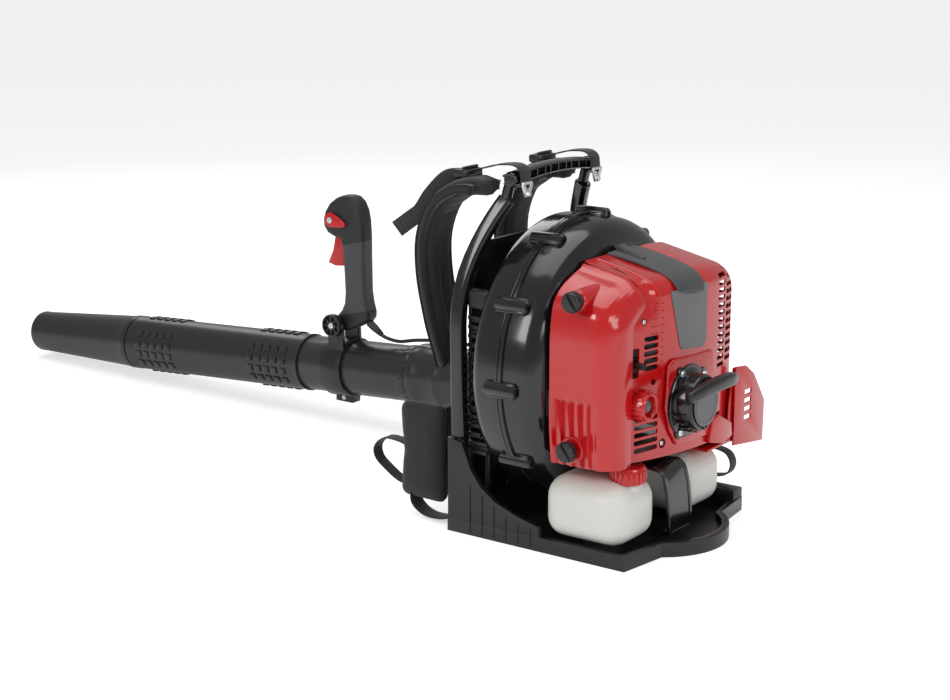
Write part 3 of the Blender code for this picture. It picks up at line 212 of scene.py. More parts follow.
def woven_cloth():
    """Plain weave: crossed threads in the height, thread colour with a painted highlight on the raised threads made
    patchy by lint, and lint in the roughness.
    """
    inputs = [
        ("Colour", "NodeSocketColor", (0.02, 0.02, 0.02, 1.0)),
        ("Highlight", "NodeSocketColor", (0.05, 0.05, 0.05, 1.0)),
        ("Pitch", "NodeSocketFloat", 0.0016),
        ("Depth", "NodeSocketFloat", 0.5),
    ]
    outputs = [
        ("Colour", "NodeSocketColor"), ("Roughness", "NodeSocketFloat"), ("Normal", "NodeSocketVector")
    ]
    tree, given, result = group_of("Woven Cloth", inputs, outputs)
    if given is None:
        return tree
    place = tree.nodes.new("ShaderNodeTexCoord")
    parts = tree.nodes.new("ShaderNodeSeparateXYZ")
    tree.links.new(place.outputs["Object"], parts.inputs[0])
    turns = maths(tree, "DIVIDE", 6.2832, given.outputs["Pitch"])
    waves = []
    for axis in ("X", "Y", "Z"):
        waves.append(maths(tree, "SINE", maths(tree, "MULTIPLY", parts.outputs[axis], turns), 0.0))
    crossed = maths(tree, "MULTIPLY", waves[0], waves[2])
    crossed = maths(tree, "ADD", crossed, maths(tree, "MULTIPLY", waves[1], waves[2]))
    height = maths(tree, "ADD", maths(tree, "MULTIPLY", crossed, 0.25), 0.5)
    lint = tree.nodes.new("ShaderNodeTexNoise")
    lint.inputs["Scale"].default_value = 35.0
    lint.inputs["Detail"].default_value = 5.0
    tree.links.new(place.outputs["Object"], lint.inputs["Vector"])
    # painted highlight: the colour turns towards the Highlight colour where the threads rise, patchy with the lint
    # noise
    painted_highlight_share = maths(tree, "MULTIPLY", height, lint.outputs["Fac"])
    mix = tree.nodes.new("ShaderNodeMix")
    mix.data_type = "RGBA"
    tree.links.new(painted_highlight_share, mix.inputs["Factor"])
    tree.links.new(given.outputs["Colour"], mix.inputs[6])
    tree.links.new(given.outputs["Highlight"], mix.inputs[7])
    tree.links.new(mix.outputs[2], result.inputs["Colour"])
    rough = maths(tree, "ADD", maths(tree, "MULTIPLY", lint.outputs["Fac"], 0.15), 0.78)
    tree.links.new(rough, result.inputs["Roughness"])
    bump = tree.nodes.new("ShaderNodeBump")
    bump.inputs["Distance"].default_value = 0.0006
    tree.links.new(given.outputs["Depth"], bump.inputs["Strength"])
    tree.links.new(height, bump.inputs["Height"])
    tree.links.new(bump.outputs["Normal"], result.inputs["Normal"])
    return tree


def ribbed_webbing():
    """Webbing read along the strap's own UV map: weft ribs, edge rows, and a painted highlight on the raised threads
    with painted shade between them.
    """
    inputs = [
        ("Colour", "NodeSocketColor", (0.015, 0.015, 0.016, 1.0)),
        ("Ribs", "NodeSocketFloat", 900.0),
        ("Depth", "NodeSocketFloat", 0.6),
    ]
    outputs = [
        ("Colour", "NodeSocketColor"), ("Roughness", "NodeSocketFloat"), ("Normal", "NodeSocketVector")
    ]
    tree, given, result = group_of("Ribbed Webbing", inputs, outputs)
    if given is None:
        return tree
    place = tree.nodes.new("ShaderNodeUVMap")
    place.uv_map = "strap"
    parts = tree.nodes.new("ShaderNodeSeparateXYZ")
    tree.links.new(place.outputs[0], parts.inputs[0])
    ribs = maths(tree, "SINE", maths(tree, "MULTIPLY", parts.outputs["Y"], given.outputs["Ribs"]), 0.0)
    rows = maths(tree, "SINE", maths(tree, "MULTIPLY", parts.outputs["X"], 120.0), 0.0)
    height = maths(tree, "ADD", maths(tree, "MULTIPLY", ribs, 0.35), maths(tree, "MULTIPLY", rows, 0.15))
    height = maths(tree, "ADD", height, 0.5)
    # painted highlight and shade: the colour is scaled up on the raised ribs and rows and down in the grooves between
    # them
    lift = maths(tree, "ADD", maths(tree, "MULTIPLY", height, 1.3), 0.4)
    tint = tree.nodes.new("ShaderNodeVectorMath")
    tint.operation = "SCALE"
    tree.links.new(given.outputs["Colour"], tint.inputs[0])
    tree.links.new(lift, tint.inputs["Scale"])
    tree.links.new(tint.outputs[0], result.inputs["Colour"])
    tree.links.new(maths(tree, "ADD", maths(tree, "MULTIPLY", height, 0.2), 0.55), result.inputs["Roughness"])
    bump = tree.nodes.new("ShaderNodeBump")
    bump.inputs["Distance"].default_value = 0.0006
    tree.links.new(given.outputs["Depth"], bump.inputs["Strength"])
    tree.links.new(height, bump.inputs["Height"])
    tree.links.new(bump.outputs["Normal"], result.inputs["Normal"])
    return tree


# ---------------------------------------------------------------- materials

# finish: (record slot, colour, drift, roughness, roughness drift, grain scale, grain depth, metallic, coat, sheen)
MOULDED = {
    "cover_gloss": ("red_plastic", "cover_red", 0.10, 0.20, 0.05, 260.0, 0.03, 0.0, 0.7, 0.0),
    "lever_red": ("red_plastic", "cover_red", 0.06, 0.30, 0.06, 700.0, 0.05, 0.0, 0.2, 0.0),
    "housing_gloss": ("gloss_black", (0.007, 0.007, 0.008), 0.25, 0.17, 0.07, 300.0, 0.03, 0.0, 0.5, 0.0),
    "frame_black": ("black_plastic", "moulding_black", 0.30, 0.30, 0.12, 1400.0, 0.14, 0.0, 0.15, 0.0),
    "vane_black": ("black_plastic", (0.006, 0.006, 0.007), 0.30, 0.42, 0.12, 1400.0, 0.18, 0.0, 0.0, 0.0),
    "pipe_satin": ("pipe_plastic", "pipe_grey", 0.10, 0.30, 0.05, 900.0, 0.02, 0.0, 0.1, 0.0),
    "hose_rubber": ("grey_rubber", (0.016, 0.016, 0.017), 0.20, 0.50, 0.10, 900.0, 0.20, 0.0, 0.0, 0.0),
    "pad_rubber": ("grey_rubber", (0.060, 0.060, 0.064), 0.15, 0.55, 0.08, 1600.0, 0.30, 0.0, 0.0, 0.1),
    "grip_grey": ("grey_plastic", "grip_grey", 0.12, 0.44, 0.08, 1500.0, 0.25, 0.0, 0.0, 0.05),
    "grip_dark": ("grey_plastic", (0.013, 0.013, 0.014), 0.15, 0.50, 0.08, 1700.0, 0.30, 0.0, 0.0, 0.05),
    "disc_grey": ("grey_plastic", (0.115, 0.118, 0.125), 0.08, 0.36, 0.06, 900.0, 0.05, 0.0, 0.1, 0.0),
    "label_grey": ("grey_plastic", (0.150, 0.152, 0.156), 0.05, 0.38, 0.05, 900.0, 0.03, 0.0, 0.0, 0.0),
    "plated_steel": ("bright_steel", (0.80, 0.80, 0.81), 0.10, 0.34, 0.14, 500.0, 0.05, 1.0, 0.0, 0.0),
    "cast_metal": ("cast_aluminium", (0.50, 0.51, 0.52), 0.15, 0.48, 0.12, 700.0, 0.35, 1.0, 0.0, 0.0),
    "muffler_steel": ("bright_steel", (0.30, 0.28, 0.26), 0.35, 0.45, 0.20, 300.0, 0.10, 1.0, 0.0, 0.0),
    "cable_sheath": ("black_plastic", (0.010, 0.010, 0.011), 0.10, 0.38, 0.08, 900.0, 0.08, 0.0, 0.0, 0.0),
    "foam": ("filter_foam", (0.19, 0.19, 0.18), 0.50, 0.95, 0.05, 500.0, 1.00, 0.0, 0.0, 0.0),
    # near black: the stop switch plate's own colour, and painted shade in the grooves on the grip and along the cover's
    # top
    "seam_dark": ("black_plastic", (0.004, 0.004, 0.004), 0.10, 0.60, 0.05, 900.0, 0.05, 0.0, 0.0, 0.0),
}
# cloth: (record slot, colour, painted highlight colour on the raised threads, pitch, depth)
CLOTH = {
    "pad_mesh": ("black_fabric", (0.008, 0.008, 0.009), (0.032, 0.032, 0.034), 1.6, 0.9),
    "pad_edge": ("black_fabric", (0.010, 0.010, 0.011), (0.028, 0.028, 0.030), 0.8, 0.6),
    "rope_braid": ("black_fabric", (0.012, 0.012, 0.012), (0.050, 0.050, 0.050), 0.9, 0.9),
}
SLOTS = {name: row[0] for name, row in {**MOULDED, **CLOTH}.items()}
SLOTS.update({"tank_milk": "tank_plastic", "strap_web": "black_fabric"})


def new_material(name, tree):
    """Start a material with its Principled shader fed by a group's colour, roughness and normal."""
    made = bpy.data.materials.new(name)
    made.use_nodes = True
    shader = made.node_tree.nodes["Principled BSDF"]
    group = made.node_tree.nodes.new("ShaderNodeGroup")
    group.node_tree = tree
    made.node_tree.links.new(group.outputs["Colour"], shader.inputs["Base Color"])
    made.node_tree.links.new(group.outputs["Roughness"], shader.inputs["Roughness"])
    made.node_tree.links.new(group.outputs["Normal"], shader.inputs["Normal"])
    return made, shader, group


def finish(name):
    """Return the named finish, made once."""
    found = bpy.data.materials.get(name)
    if found:
        return found
    colours = bpy.context.scene.blower_colours
    if name in MOULDED:
        _, colour, drift, rough, rough_drift, scale, depth, metallic, coat, sheen = MOULDED[name]
        if isinstance(colour, str):
            colour = getattr(colours, colour)
        made, shader, group = new_material(name, moulded_grain())
        group.inputs["Colour"].default_value = (*colour, 1.0)
        group.inputs["Drift"].default_value = drift
        group.inputs["Roughness"].default_value = rough
        group.inputs["Roughness Drift"].default_value = rough_drift
        group.inputs["Grain Scale"].default_value = scale
        group.inputs["Grain Depth"].default_value = depth
        shader.inputs["Metallic"].default_value = metallic
        shader.inputs["Coat Weight"].default_value = coat
        shader.inputs["Coat Roughness"].default_value = 0.08
        shader.inputs["Sheen Weight"].default_value = sheen
        return made
    if name in CLOTH:
        _, colour, highlight, pitch, depth = CLOTH[name]
        made, shader, group = new_material(name, woven_cloth())
        group.inputs["Colour"].default_value = (*colour, 1.0)
        group.inputs["Highlight"].default_value = (*highlight, 1.0)
        group.inputs["Pitch"].default_value = bpy.context.scene.blower_sizes.weave_pitch * pitch
        group.inputs["Depth"].default_value = depth
        shader.inputs["Sheen Weight"].default_value = 0.25
        shader.inputs["Sheen Roughness"].default_value = 0.5
        return made
    if name == "strap_web":
        made, shader, group = new_material(name, ribbed_webbing())
        shader.inputs["Sheen Weight"].default_value = 0.15
        return made
    made, shader, group = new_material(name, moulded_grain())
    group.inputs["Colour"].default_value = (*colours.tank_white, 1.0)
    group.inputs["Drift"].default_value = 0.05
    group.inputs["Roughness"].default_value = 0.36
    group.inputs["Grain Scale"].default_value = 500.0
    group.inputs["Grain Depth"].default_value = 0.08
    shader.inputs["Subsurface Weight"].default_value = 0.35
    shader.inputs["Subsurface Radius"].default_value = (0.02, 0.02, 0.015)
    shader.inputs["Subsurface Scale"].default_value = 0.5
    return made


# ---------------------------------------------------------------- modelling helpers


def piece(name, bm, look, body, stands_for=(), smooth=35.0, turn_out=True):
    """Make a piece of a bmesh, let it ride on its body and stand for CAD nodes."""
    if turn_out:
        bmesh.ops.recalc_face_normals(bm, faces=bm.faces)
    mesh = bpy.data.meshes.new(name)
    bm.to_mesh(mesh)
    bm.free()
    mesh.shade_smooth()
    mesh.set_sharp_from_angle(angle=math.radians(smooth))
    looks = [look] if isinstance(look, str) else look
    for entry in looks:
        mesh.materials.append(finish(entry))
    made = bpy.data.objects.new(name, mesh)
    bpy.context.scene.collection.objects.link(made)
    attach(made, body)
    if stands_for:
        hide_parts(*stands_for)
    return made


def spun(profile, steps=48, closed=True, place=None):
    """Spin a (radius, height) outline about local Z into a closed skin."""
    bm = bmesh.new()
    verts = [bm.verts.new((radius, 0.0, height)) for radius, height in profile]
    pairs = list(zip(verts, verts[1:]))
    if closed:
        pairs.append((verts[-1], verts[0]))
    edges = [bm.edges.new(pair) for pair in pairs]
    bmesh.ops.spin(
        bm, geom=verts + edges, axis=(0, 0, 1), cent=(0, 0, 0), steps=steps, angle=2 * math.pi, use_merge=True
    )
    bmesh.ops.remove_doubles(bm, verts=bm.verts, dist=1e-6)
    bmesh.ops.recalc_face_normals(bm, faces=bm.faces)
    if place is not None:
        bm.transform(place)
    return bm


def slab(outline, travel, rim=0.0, segments=3):
    """Extrude a flat outline of 3-D points, and round its edges if rim is given."""
    bm = bmesh.new()
    face = bm.faces.new([bm.verts.new(p) for p in outline])
    grown = bmesh.ops.extrude_face_region(bm, geom=[face])
    moved = [v for v in grown["geom"] if isinstance(v, bmesh.types.BMVert)]
    bmesh.ops.translate(bm, verts=moved, vec=Vector(travel))
    bmesh.ops.recalc_face_normals(bm, faces=bm.faces)
    if rim:
        round_edges(bm, rim, segments)
    return bm


def brick(low, high, rim=0.0, segments=3):
    """Return a box between two corners with rounded edges."""
    bm = bmesh.new()
    bmesh.ops.create_cube(bm, size=1.0)
    low, high = Vector(low), Vector(high)
    size = high - low
    bmesh.ops.scale(bm, vec=size, verts=bm.verts)
    bmesh.ops.translate(bm, vec=(low + high) / 2, verts=bm.verts)
    if rim:
        round_edges(bm, rim, segments)
    return bm


def round_edges(bm, radius, segments=3, angle=28.0):
    """Bevel every edge sharper than the angle."""
    sharp = [e for e in bm.edges if len(e.link_faces) == 2 and e.calc_face_angle(0) > math.radians(angle)]
    bmesh.ops.bevel(
        bm,
        geom=sharp,
        offset=radius,
        offset_type="OFFSET",
        segments=segments,
        profile=0.5,
        affect="EDGES",
        material=-1,
        clamp_overlap=True,
    )
    return bm


def add(bm, other, place=None):
    """Move the geometry of another bmesh into this one."""
    if place is not None:
        other.transform(place)
    mesh = bpy.data.meshes.new("part")
    other.to_mesh(mesh)
    other.free()
    bm.from_mesh(mesh)
    bpy.data.meshes.remove(mesh)
    return bm


def carve(bm, cutter, operation="DIFFERENCE"):
    """Return the bmesh after an exact Boolean with the cutter."""
    objects = []
    for label, source in (("body", bm), ("tool", cutter)):
        bmesh.ops.recalc_face_normals(source, faces=source.faces)
        mesh = bpy.data.meshes.new(label)
        source.to_mesh(mesh)
        source.free()
        made = bpy.data.objects.new(label, mesh)
        bpy.context.scene.collection.objects.link(made)
        objects.append(made)
    boolean = objects[0].modifiers.new("cut", "BOOLEAN")
    boolean.operation = operation
    boolean.solver = "EXACT"
    boolean.use_self = operation == "UNION"
    boolean.object = objects[1]
    bpy.context.view_layer.update()
    evaluated = objects[0].evaluated_get(bpy.context.evaluated_depsgraph_get())
    result = bmesh.new()
    result.from_mesh(evaluated.to_mesh())
    evaluated.to_mesh_clear()
    for made in objects:
        mesh = made.data
        bpy.data.objects.remove(made)
        bpy.data.meshes.remove(mesh)
    return result


def softened(node, name, look, body, radius=None, segments=2, angle=30.0, smooth=38.0):
    """Copy a CAD node's surface, weld it, round its edges and let the copy stand for it."""
    if radius is None:
        radius = bpy.context.scene.blower_sizes.edge_round
    bm = bmesh.new()
    bm.from_mesh(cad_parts[node].data)
    bmesh.ops.remove_doubles(bm, verts=bm.verts, dist=2e-5)
    bmesh.ops.dissolve_limit(bm, angle_limit=math.radians(1.5), verts=bm.verts, edges=bm.edges)
    if radius:
        round_edges(bm, radius, segments, angle)
    return piece(name, bm, look, body, (node,), smooth=smooth, turn_out=False)


def smooth_route(points, steps):
    """Read a smooth curve through the given points, with a number of steps in each span."""
    pts = [Vector(p) for p in points]
    pts = [2 * pts[0] - pts[1], *pts, 2 * pts[-1] - pts[-2]]
    out = []
    for a, b, c, d in zip(pts, pts[1:], pts[2:], pts[3:]):
        for k in range(steps):
            t = k / steps
            cubic = (3 * b - a - 3 * c + d) * t**3
            out.append(0.5 * (2 * b + (c - a) * t + (2 * a - 5 * b + 4 * c - d) * t**2 + cubic))
    out.append(pts[-2])
    return out


def loft(rings, cap=True, joined=False):
    """Extrude a closed ring of points from section to section, every ring with as many points."""
    bm = bmesh.new()
    loop = [bm.verts.new(p) for p in rings[0]]
    first = loop
    edges = [bm.edges.new((loop[i], loop[(i + 1) % len(loop)])) for i in range(len(loop))]
    start_edges = edges
    for ring in rings[1:]:
        grown = bmesh.ops.extrude_edge_only(bm, edges=edges)
        fresh = {g for g in grown["geom"] if isinstance(g, bmesh.types.BMVert)}
        following = []
        for vert in loop:
            following.append(next(e.other_vert(vert) for e in vert.link_edges if e.other_vert(vert) in fresh))
        for vert, point in zip(following, ring):
            vert.co = point
        edges = [
            bm.edges.get((following[i], following[(i + 1) % len(following)])) for i in range(len(following))
        ]
        loop = following
    if joined:
        bmesh.ops.bridge_loops(bm, edges=start_edges + edges)
    elif cap:
        bmesh.ops.contextual_create(bm, geom=first)
        bmesh.ops.contextual_create(bm, geom=loop)
    bmesh.ops.recalc_face_normals(bm, faces=bm.faces)
    return bm


def along(path, section, across=None):
    """Loft a flat section of (side, lift) points along a path; across is the side direction."""
    rings = []
    for i, point in enumerate(path):
        ahead = (path[min(i + 1, len(path) - 1)] - path[max(i - 1, 0)]).normalized()
        side = Vector(across or (1, 0, 0))
        side = (side - ahead * side.dot(ahead)).normalized()
        lift = ahead.cross(side)
        shape = section(i / (len(path) - 1)) if callable(section) else section
        rings.append([point + side * s + lift * h for s, h in shape])
    return rings


def lens(width, thickness, count=6):
    """Section of a strap or pad: flat faces with round edges."""
    half, thick = width / 2, thickness / 2
    points = []
    for centre, turn in ((half - thick, -90), (-half + thick, 90)):
        for k in range(count + 1):
            angle = math.radians(turn + 180 * k / count)
            points.append((centre + thick * math.cos(angle), thick * math.sin(angle)))
    return points


def webbing(name, points, body, stands_for=(), across=(1, 0, 0), width=None, steps=6):
    """A strap of woven webbing along a route, with its own UV map."""
    width = width or bpy.context.scene.blower_sizes.webbing_width
    path = smooth_route(points, steps)
    bm = loft(along(path, lens(width, 0.0019, 4), across))
    lengths = [0.0]
    for a, b in zip(path, path[1:]):
        lengths.append(lengths[-1] + (b - a).length)
    layer = bm.loops.layers.uv.new("strap")
    ring = 10
    bm.verts.index_update()
    for face in bm.faces:
        for corner in face.loops:
            station = min(corner.vert.index // ring, len(path) - 1)
            rest = corner.vert.co - path[station]
            corner[layer].uv = (rest.dot(Vector(across).normalized()) / width, lengths[station])
    strap = piece(name, bm, "strap_web", body, stands_for, smooth=50.0)
    return strap


def screw(bm, place, radius=0.0045, height=0.003):
    """Add a pan-head screw with a cross slot, its head pointing along local Z."""
    head = spun(
        [(0, 0), (radius, 0), (radius, height * 0.5), (radius * 0.75, height * 0.92), (0, height)],
        20,
        closed=False,
    )
    for turn in (20, 110):
        bar = brick(
            (-radius * 0.6, -radius * 0.12, height * 0.45), (radius * 0.6, radius * 0.12, height * 1.5)
        )
        bar.transform(Matrix.Rotation(math.radians(turn), 4, "Z"))
        head = carve(head, bar)
    return add(bm, head, place)


def facing(point, direction):
    """A frame at the point with local Z along the direction."""
    turn = Vector(direction).to_track_quat("Z", "Y").to_matrix().to_4x4()
    return Matrix.Translation(point) @ turn


def on_pipe(distance=0.0):
    """A frame on the blow pipe's axis, local Z along the air flow."""
    return PIPE_FRAME @ Matrix.Translation((0, 0, distance))


def on_crank(y):
    """A frame on the crank axis, local Z towards the starter."""
    return Matrix.Translation((0, y, CRANK_Z)) @ ALONG_MINUS_Y


# ---------------------------------------------------------------- stage


class BLOWER_OT_stage(bpy.types.Operator):
    """Place the camera, the pale floor and the soft boxes"""

    bl_idname = "blower.stage"
    bl_label = "Stage"

    def execute(self, context):
        scene = context.scene
        camera = bpy.data.objects.new("camera", bpy.data.cameras.new("camera"))
        camera.data.lens = 71.98
        camera.data.sensor_width = 36.0
        camera.data.clip_end = 60.0
        camera.location = (-2.1596, -1.3821, 0.8665)
        camera.rotation_euler = (math.radians(90 - 13.693), 0.0, math.radians(-53.923))
        scene.collection.objects.link(camera)
        scene.camera = camera
        bm = bmesh.new()
        bmesh.ops.create_grid(bm, x_segments=1, y_segments=1, size=30.0)
        floor_mesh = bpy.data.meshes.new("floor")
        bm.to_mesh(floor_mesh)
        bm.free()
        floor = bpy.data.objects.new("floor", floor_mesh)
        pale = bpy.data.materials.new("floor_pale")
        pale.use_nodes = True
        shader = pale.node_tree.nodes["Principled BSDF"]
        shader.inputs["Base Color"].default_value = (0.90, 0.90, 0.90, 1.0)
        shader.inputs["Roughness"].default_value = 0.9
        shader.inputs["Emission Color"].default_value = (1.0, 1.0, 1.0, 1.0)
        seen = pale.node_tree.nodes.new("ShaderNodeLightPath")
        glow = pale.node_tree.nodes.new("ShaderNodeMix")
        glow.inputs["A"].default_value = 0.20
        glow.inputs["B"].default_value = 0.56
        pale.node_tree.links.new(seen.outputs["Is Camera Ray"], glow.inputs["Factor"])
        pale.node_tree.links.new(glow.outputs["Result"], shader.inputs["Emission Strength"])
        floor_mesh.materials.append(pale)
        scene.collection.objects.link(floor)
        world = bpy.data.worlds.new("studio")
        world.use_nodes = True
        background = world.node_tree.nodes["Background"]
        background.inputs["Color"].default_value = (1.0, 1.0, 1.0, 1.0)
        rays = world.node_tree.nodes.new("ShaderNodeLightPath")
        strength = world.node_tree.nodes.new("ShaderNodeMix")
        strength.inputs["A"].default_value = 0.34
        strength.inputs["B"].default_value = 1.0
        world.node_tree.links.new(rays.outputs["Is Camera Ray"], strength.inputs["Factor"])
        world.node_tree.links.new(strength.outputs["Result"], background.inputs["Strength"])
        scene.world = world
        soft_boxes = [
            ("box_left", (-2.4, 0.6, 1.5), (0.0, 0.1, 0.25), 1.0, 20.0),
            ("box_front", (-0.6, -2.6, 1.4), (0.0, 0.0, 0.2), 1.2, 17.0),
            ("box_top", (0.2, 0.2, 2.6), (0.0, 0.2, 0.2), 2.2, 26.0),
            ("box_rear", (1.6, 2.2, 1.8), (0.0, 0.3, 0.2), 1.4, 12.0),
        ]
        for name, place, target, size, power in soft_boxes:
            light = bpy.data.lights.new(name, "AREA")
            light.size = size
            light.energy = power
            lamp = bpy.data.objects.new(name, light)
            aim = (Vector(target) - Vector(place)).to_track_quat("-Z", "Y")
            lamp.matrix_world = Matrix.Translation(place) @ aim.to_matrix().to_4x4()
            scene.collection.objects.link(lamp)
        scene.view_settings.view_transform = "Standard"
        return {"FINISHED"}


# ---------------------------------------------------------------- throttle cable


class BLOWER_OT_cable(bpy.types.Operator):
    """Lay the throttle cable from the grip's foot to the gland, with a sleeve at the grip's foot"""

    bl_idname = "blower.cable"
    bl_label = "Throttle cable"

    def execute(self, context):
        radius = context.scene.blower_sizes.cable_radius
        curve = bpy.data.curves.new("cable", "CURVE")
        curve.dimensions = "3D"
        curve.bevel_depth = radius
        curve.bevel_resolution = 4
        curve.use_fill_caps = True
        route = smooth_route(CABLE_ROUTE, 6)
        spline = curve.splines.new("POLY")
        spline.points.add(len(route) - 1)
        for point, co in zip(spline.points, route):
            point.co = (*co, 1.0)
        curve.materials.append(finish("cable_sheath"))
        cable = bpy.data.objects.new("cable", curve)
        context.scene.collection.objects.link(cable)
        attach(cable, "pipe_tail")
        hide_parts("throttle_cable")
        sleeve = [(0.0034, -0.010), (0.0066, -0.010), (0.0062, 0.004), (0.0042, 0.020), (0.0034, 0.021)]
        down = Vector(CABLE_ROUTE[1]) - Vector(CABLE_ROUTE[0])
        piece(
            "cable_sleeve", spun(sleeve, 24, place=facing(CABLE_ROUTE[0], down)), "cable_sheath", "pipe_tail"
        )
        return {"FINISHED"}


# ---------------------------------------------------------------- blow pipe


class BLOWER_OT_pipe(bpy.types.Operator):
    """Turn the elbow, bellows, clamps, pipes and nozzle"""

    bl_idname = "blower.pipe"
    bl_label = "Blow pipe"

    def execute(self, context):
        elbow = softened("outlet_elbow", "elbow_skin", "pipe_satin", "frame", 0.0, smooth=60.0)
        smoother = elbow.modifiers.new("smoother", "SUBSURF")
        smoother.levels = smoother.render_levels = 1
        outer = [(0.0500, 0.0003), (0.0502, 0.0150)]
        for k in range(7):
            base = 0.0165 + 0.0076 * k
            outer += [
                (0.0490, base),
                (0.0530, base + 0.0018),
                (0.0540, base + 0.0032),
                (0.0530, base + 0.0046),
                (0.0490, base + 0.0066),
            ]
        outer += [(0.0502, 0.0715), (0.0500, 0.0850)]
        inner = [(0.0468, height) for _, height in (outer[-1], outer[0])]
        bm = spun(outer + inner, 96, place=on_pipe())
        hose = piece("hose_skin", bm, "hose_rubber", "flex_hose", ("bellows",), smooth=50.0)
        hose["role"] = "flexible hose"
        for node, body, at in (
            ("hose_clamp_rear", "frame", 0.0025), ("hose_clamp_front", "pipe_base", 0.0735)
        ):
            band = [
                (0.0503, 0.0),
                (0.0513, 0.0),
                (0.0517, 0.0008),
                (0.0517, 0.0087),
                (0.0513, 0.0095),
                (0.0503, 0.0095),
            ]
            bm = spun(band, 96)
            lugs = brick((-0.0085, -0.0600, 0.0012), (-0.0015, -0.0512, 0.0083), 0.0006, 2)
            add(lugs, brick((0.0015, -0.0600, 0.0012), (0.0085, -0.0512, 0.0083), 0.0006, 2))
            add(bm, lugs)
            add(
                bm,
                spun([(0, -0.012), (0.0018, -0.012), (0.0018, 0.012), (0, 0.012)], 16, closed=False),
                Matrix.Translation((0, -0.0560, 0.0048)) @ Matrix.Rotation(math.pi / 2, 4, "Y"),
            )
            bm.transform(on_pipe(at))
            piece(node + "_skin", bm, "plated_steel", body, (node,))
        collar = [
            (0.0440, 0.0856),
            (0.0498, 0.0856),
            (0.0502, 0.0870),
            (0.0502, 0.2500),
            (0.0506, 0.2570),
            (0.0516, 0.2640),
        ]
        collar += [
            (0.0520, 0.2660),
            (0.0520, 0.2700),
            (0.0513, 0.2720),
            (0.0513, 0.3080),
            (0.0520, 0.3100),
            (0.0520, 0.3215),
            (0.0512, 0.3245),
        ]
        collar += [(0.0490, 0.3250), (0.0462, 0.3250), (0.0462, 0.2800), (0.0440, 0.2780)]
        piece(
            "collar_skin",
            spun(collar, 96, place=on_pipe()),
            "pipe_satin",
            "pipe_base",
            ("pipe_collar",),
            smooth=32.0,
        )
        swivel = [
            (0.0436, 0.2805),
            (0.0458, 0.2805),
            (0.0458, 0.3300),
            (0.0478, 0.3330),
            (0.0478, 0.3390),
            (0.0462, 0.3480),
            (0.0459, 0.3520),
        ]
        swivel += [(0.0459, 0.5560), (0.0448, 0.5585), (0.0448, 0.5805), (0.0432, 0.5805), (0.0432, 0.5505)]
        bm = spun(swivel, 96, place=on_pipe())
        for k in range(12):
            rib = brick((-0.0040, 0.0445, 0.3255), (0.0040, 0.0482, 0.3440), 0.0012, 2)
            add(bm, rib, on_pipe() @ Matrix.Rotation(2 * math.pi * k / 12, 4, "Z"))
        piece("swivel_skin", bm, "pipe_satin", "pipe_tail", ("swivel_pipe",), smooth=32.0)
        straight = [
            (0.0452, 0.5590),
            (0.0474, 0.5590),
            (0.0484, 0.5598),
            (0.0485, 0.5625),
            (0.0477, 0.5650),
            (0.0475, 0.5680),
        ]
        straight += [
            (0.0475, 0.9640),
            (0.0481, 0.9660),
            (0.0481, 0.9690),
            (0.0448, 0.9720),
            (0.0448, 0.9900),
            (0.0430, 0.9900),
            (0.0430, 0.9660),
            (0.0452, 0.9620),
        ]
        bm = spun(straight, 96, place=on_pipe())
        for start in (0.585, 0.8555):
            for centre in (117, 239, 0):
                for around in range(4):
                    for row in range(5):
                        turn = math.radians(centre - 33.6 + 22.4 * around)
                        lug = brick((-0.0062, 0.0465, 0.0), (0.0062, 0.0498, 0.0125), 0.0016, 2)
                        place = Matrix.Rotation(
                            -(turn - math.pi / 2), 4, "Z"
                        ) @ Matrix.Translation((0, 0, start + 0.0185 * row))
                        add(bm, lug, on_pipe() @ place)
        seam = brick((-0.0006, 0.0470, 0.5650), (0.0006, 0.0480, 0.9600), 0.0003, 1)
        add(bm, seam, on_pipe() @ Matrix.Rotation(math.radians(100), 4, "Z"))
        piece("long_pipe_skin", bm, "pipe_satin", "pipe_tail", ("straight_pipe",), smooth=32.0)
        nozzle = [
            (0.0452, 0.9725),
            (0.0476, 0.9725),
            (0.0480, 0.9735),
            (0.0480, 0.9840),
            (0.0470, 0.9880),
            (0.0461, 1.0020),
        ]
        nozzle += [
            (0.0368, 1.2240),
            (0.0372, 1.2270),
            (0.0372, 1.2330),
            (0.0366, 1.2350),
            (0.0340, 1.2350),
            (0.0440, 1.0020),
            (0.0452, 0.9920),
        ]
        piece(
            "nozzle_skin",
            spun(nozzle, 96, place=on_pipe()),
            "pipe_satin",
            "pipe_tail",
            ("nozzle",),
            smooth=32.0,
        )
        return {"FINISHED"}


# ---------------------------------------------------------------- control handle


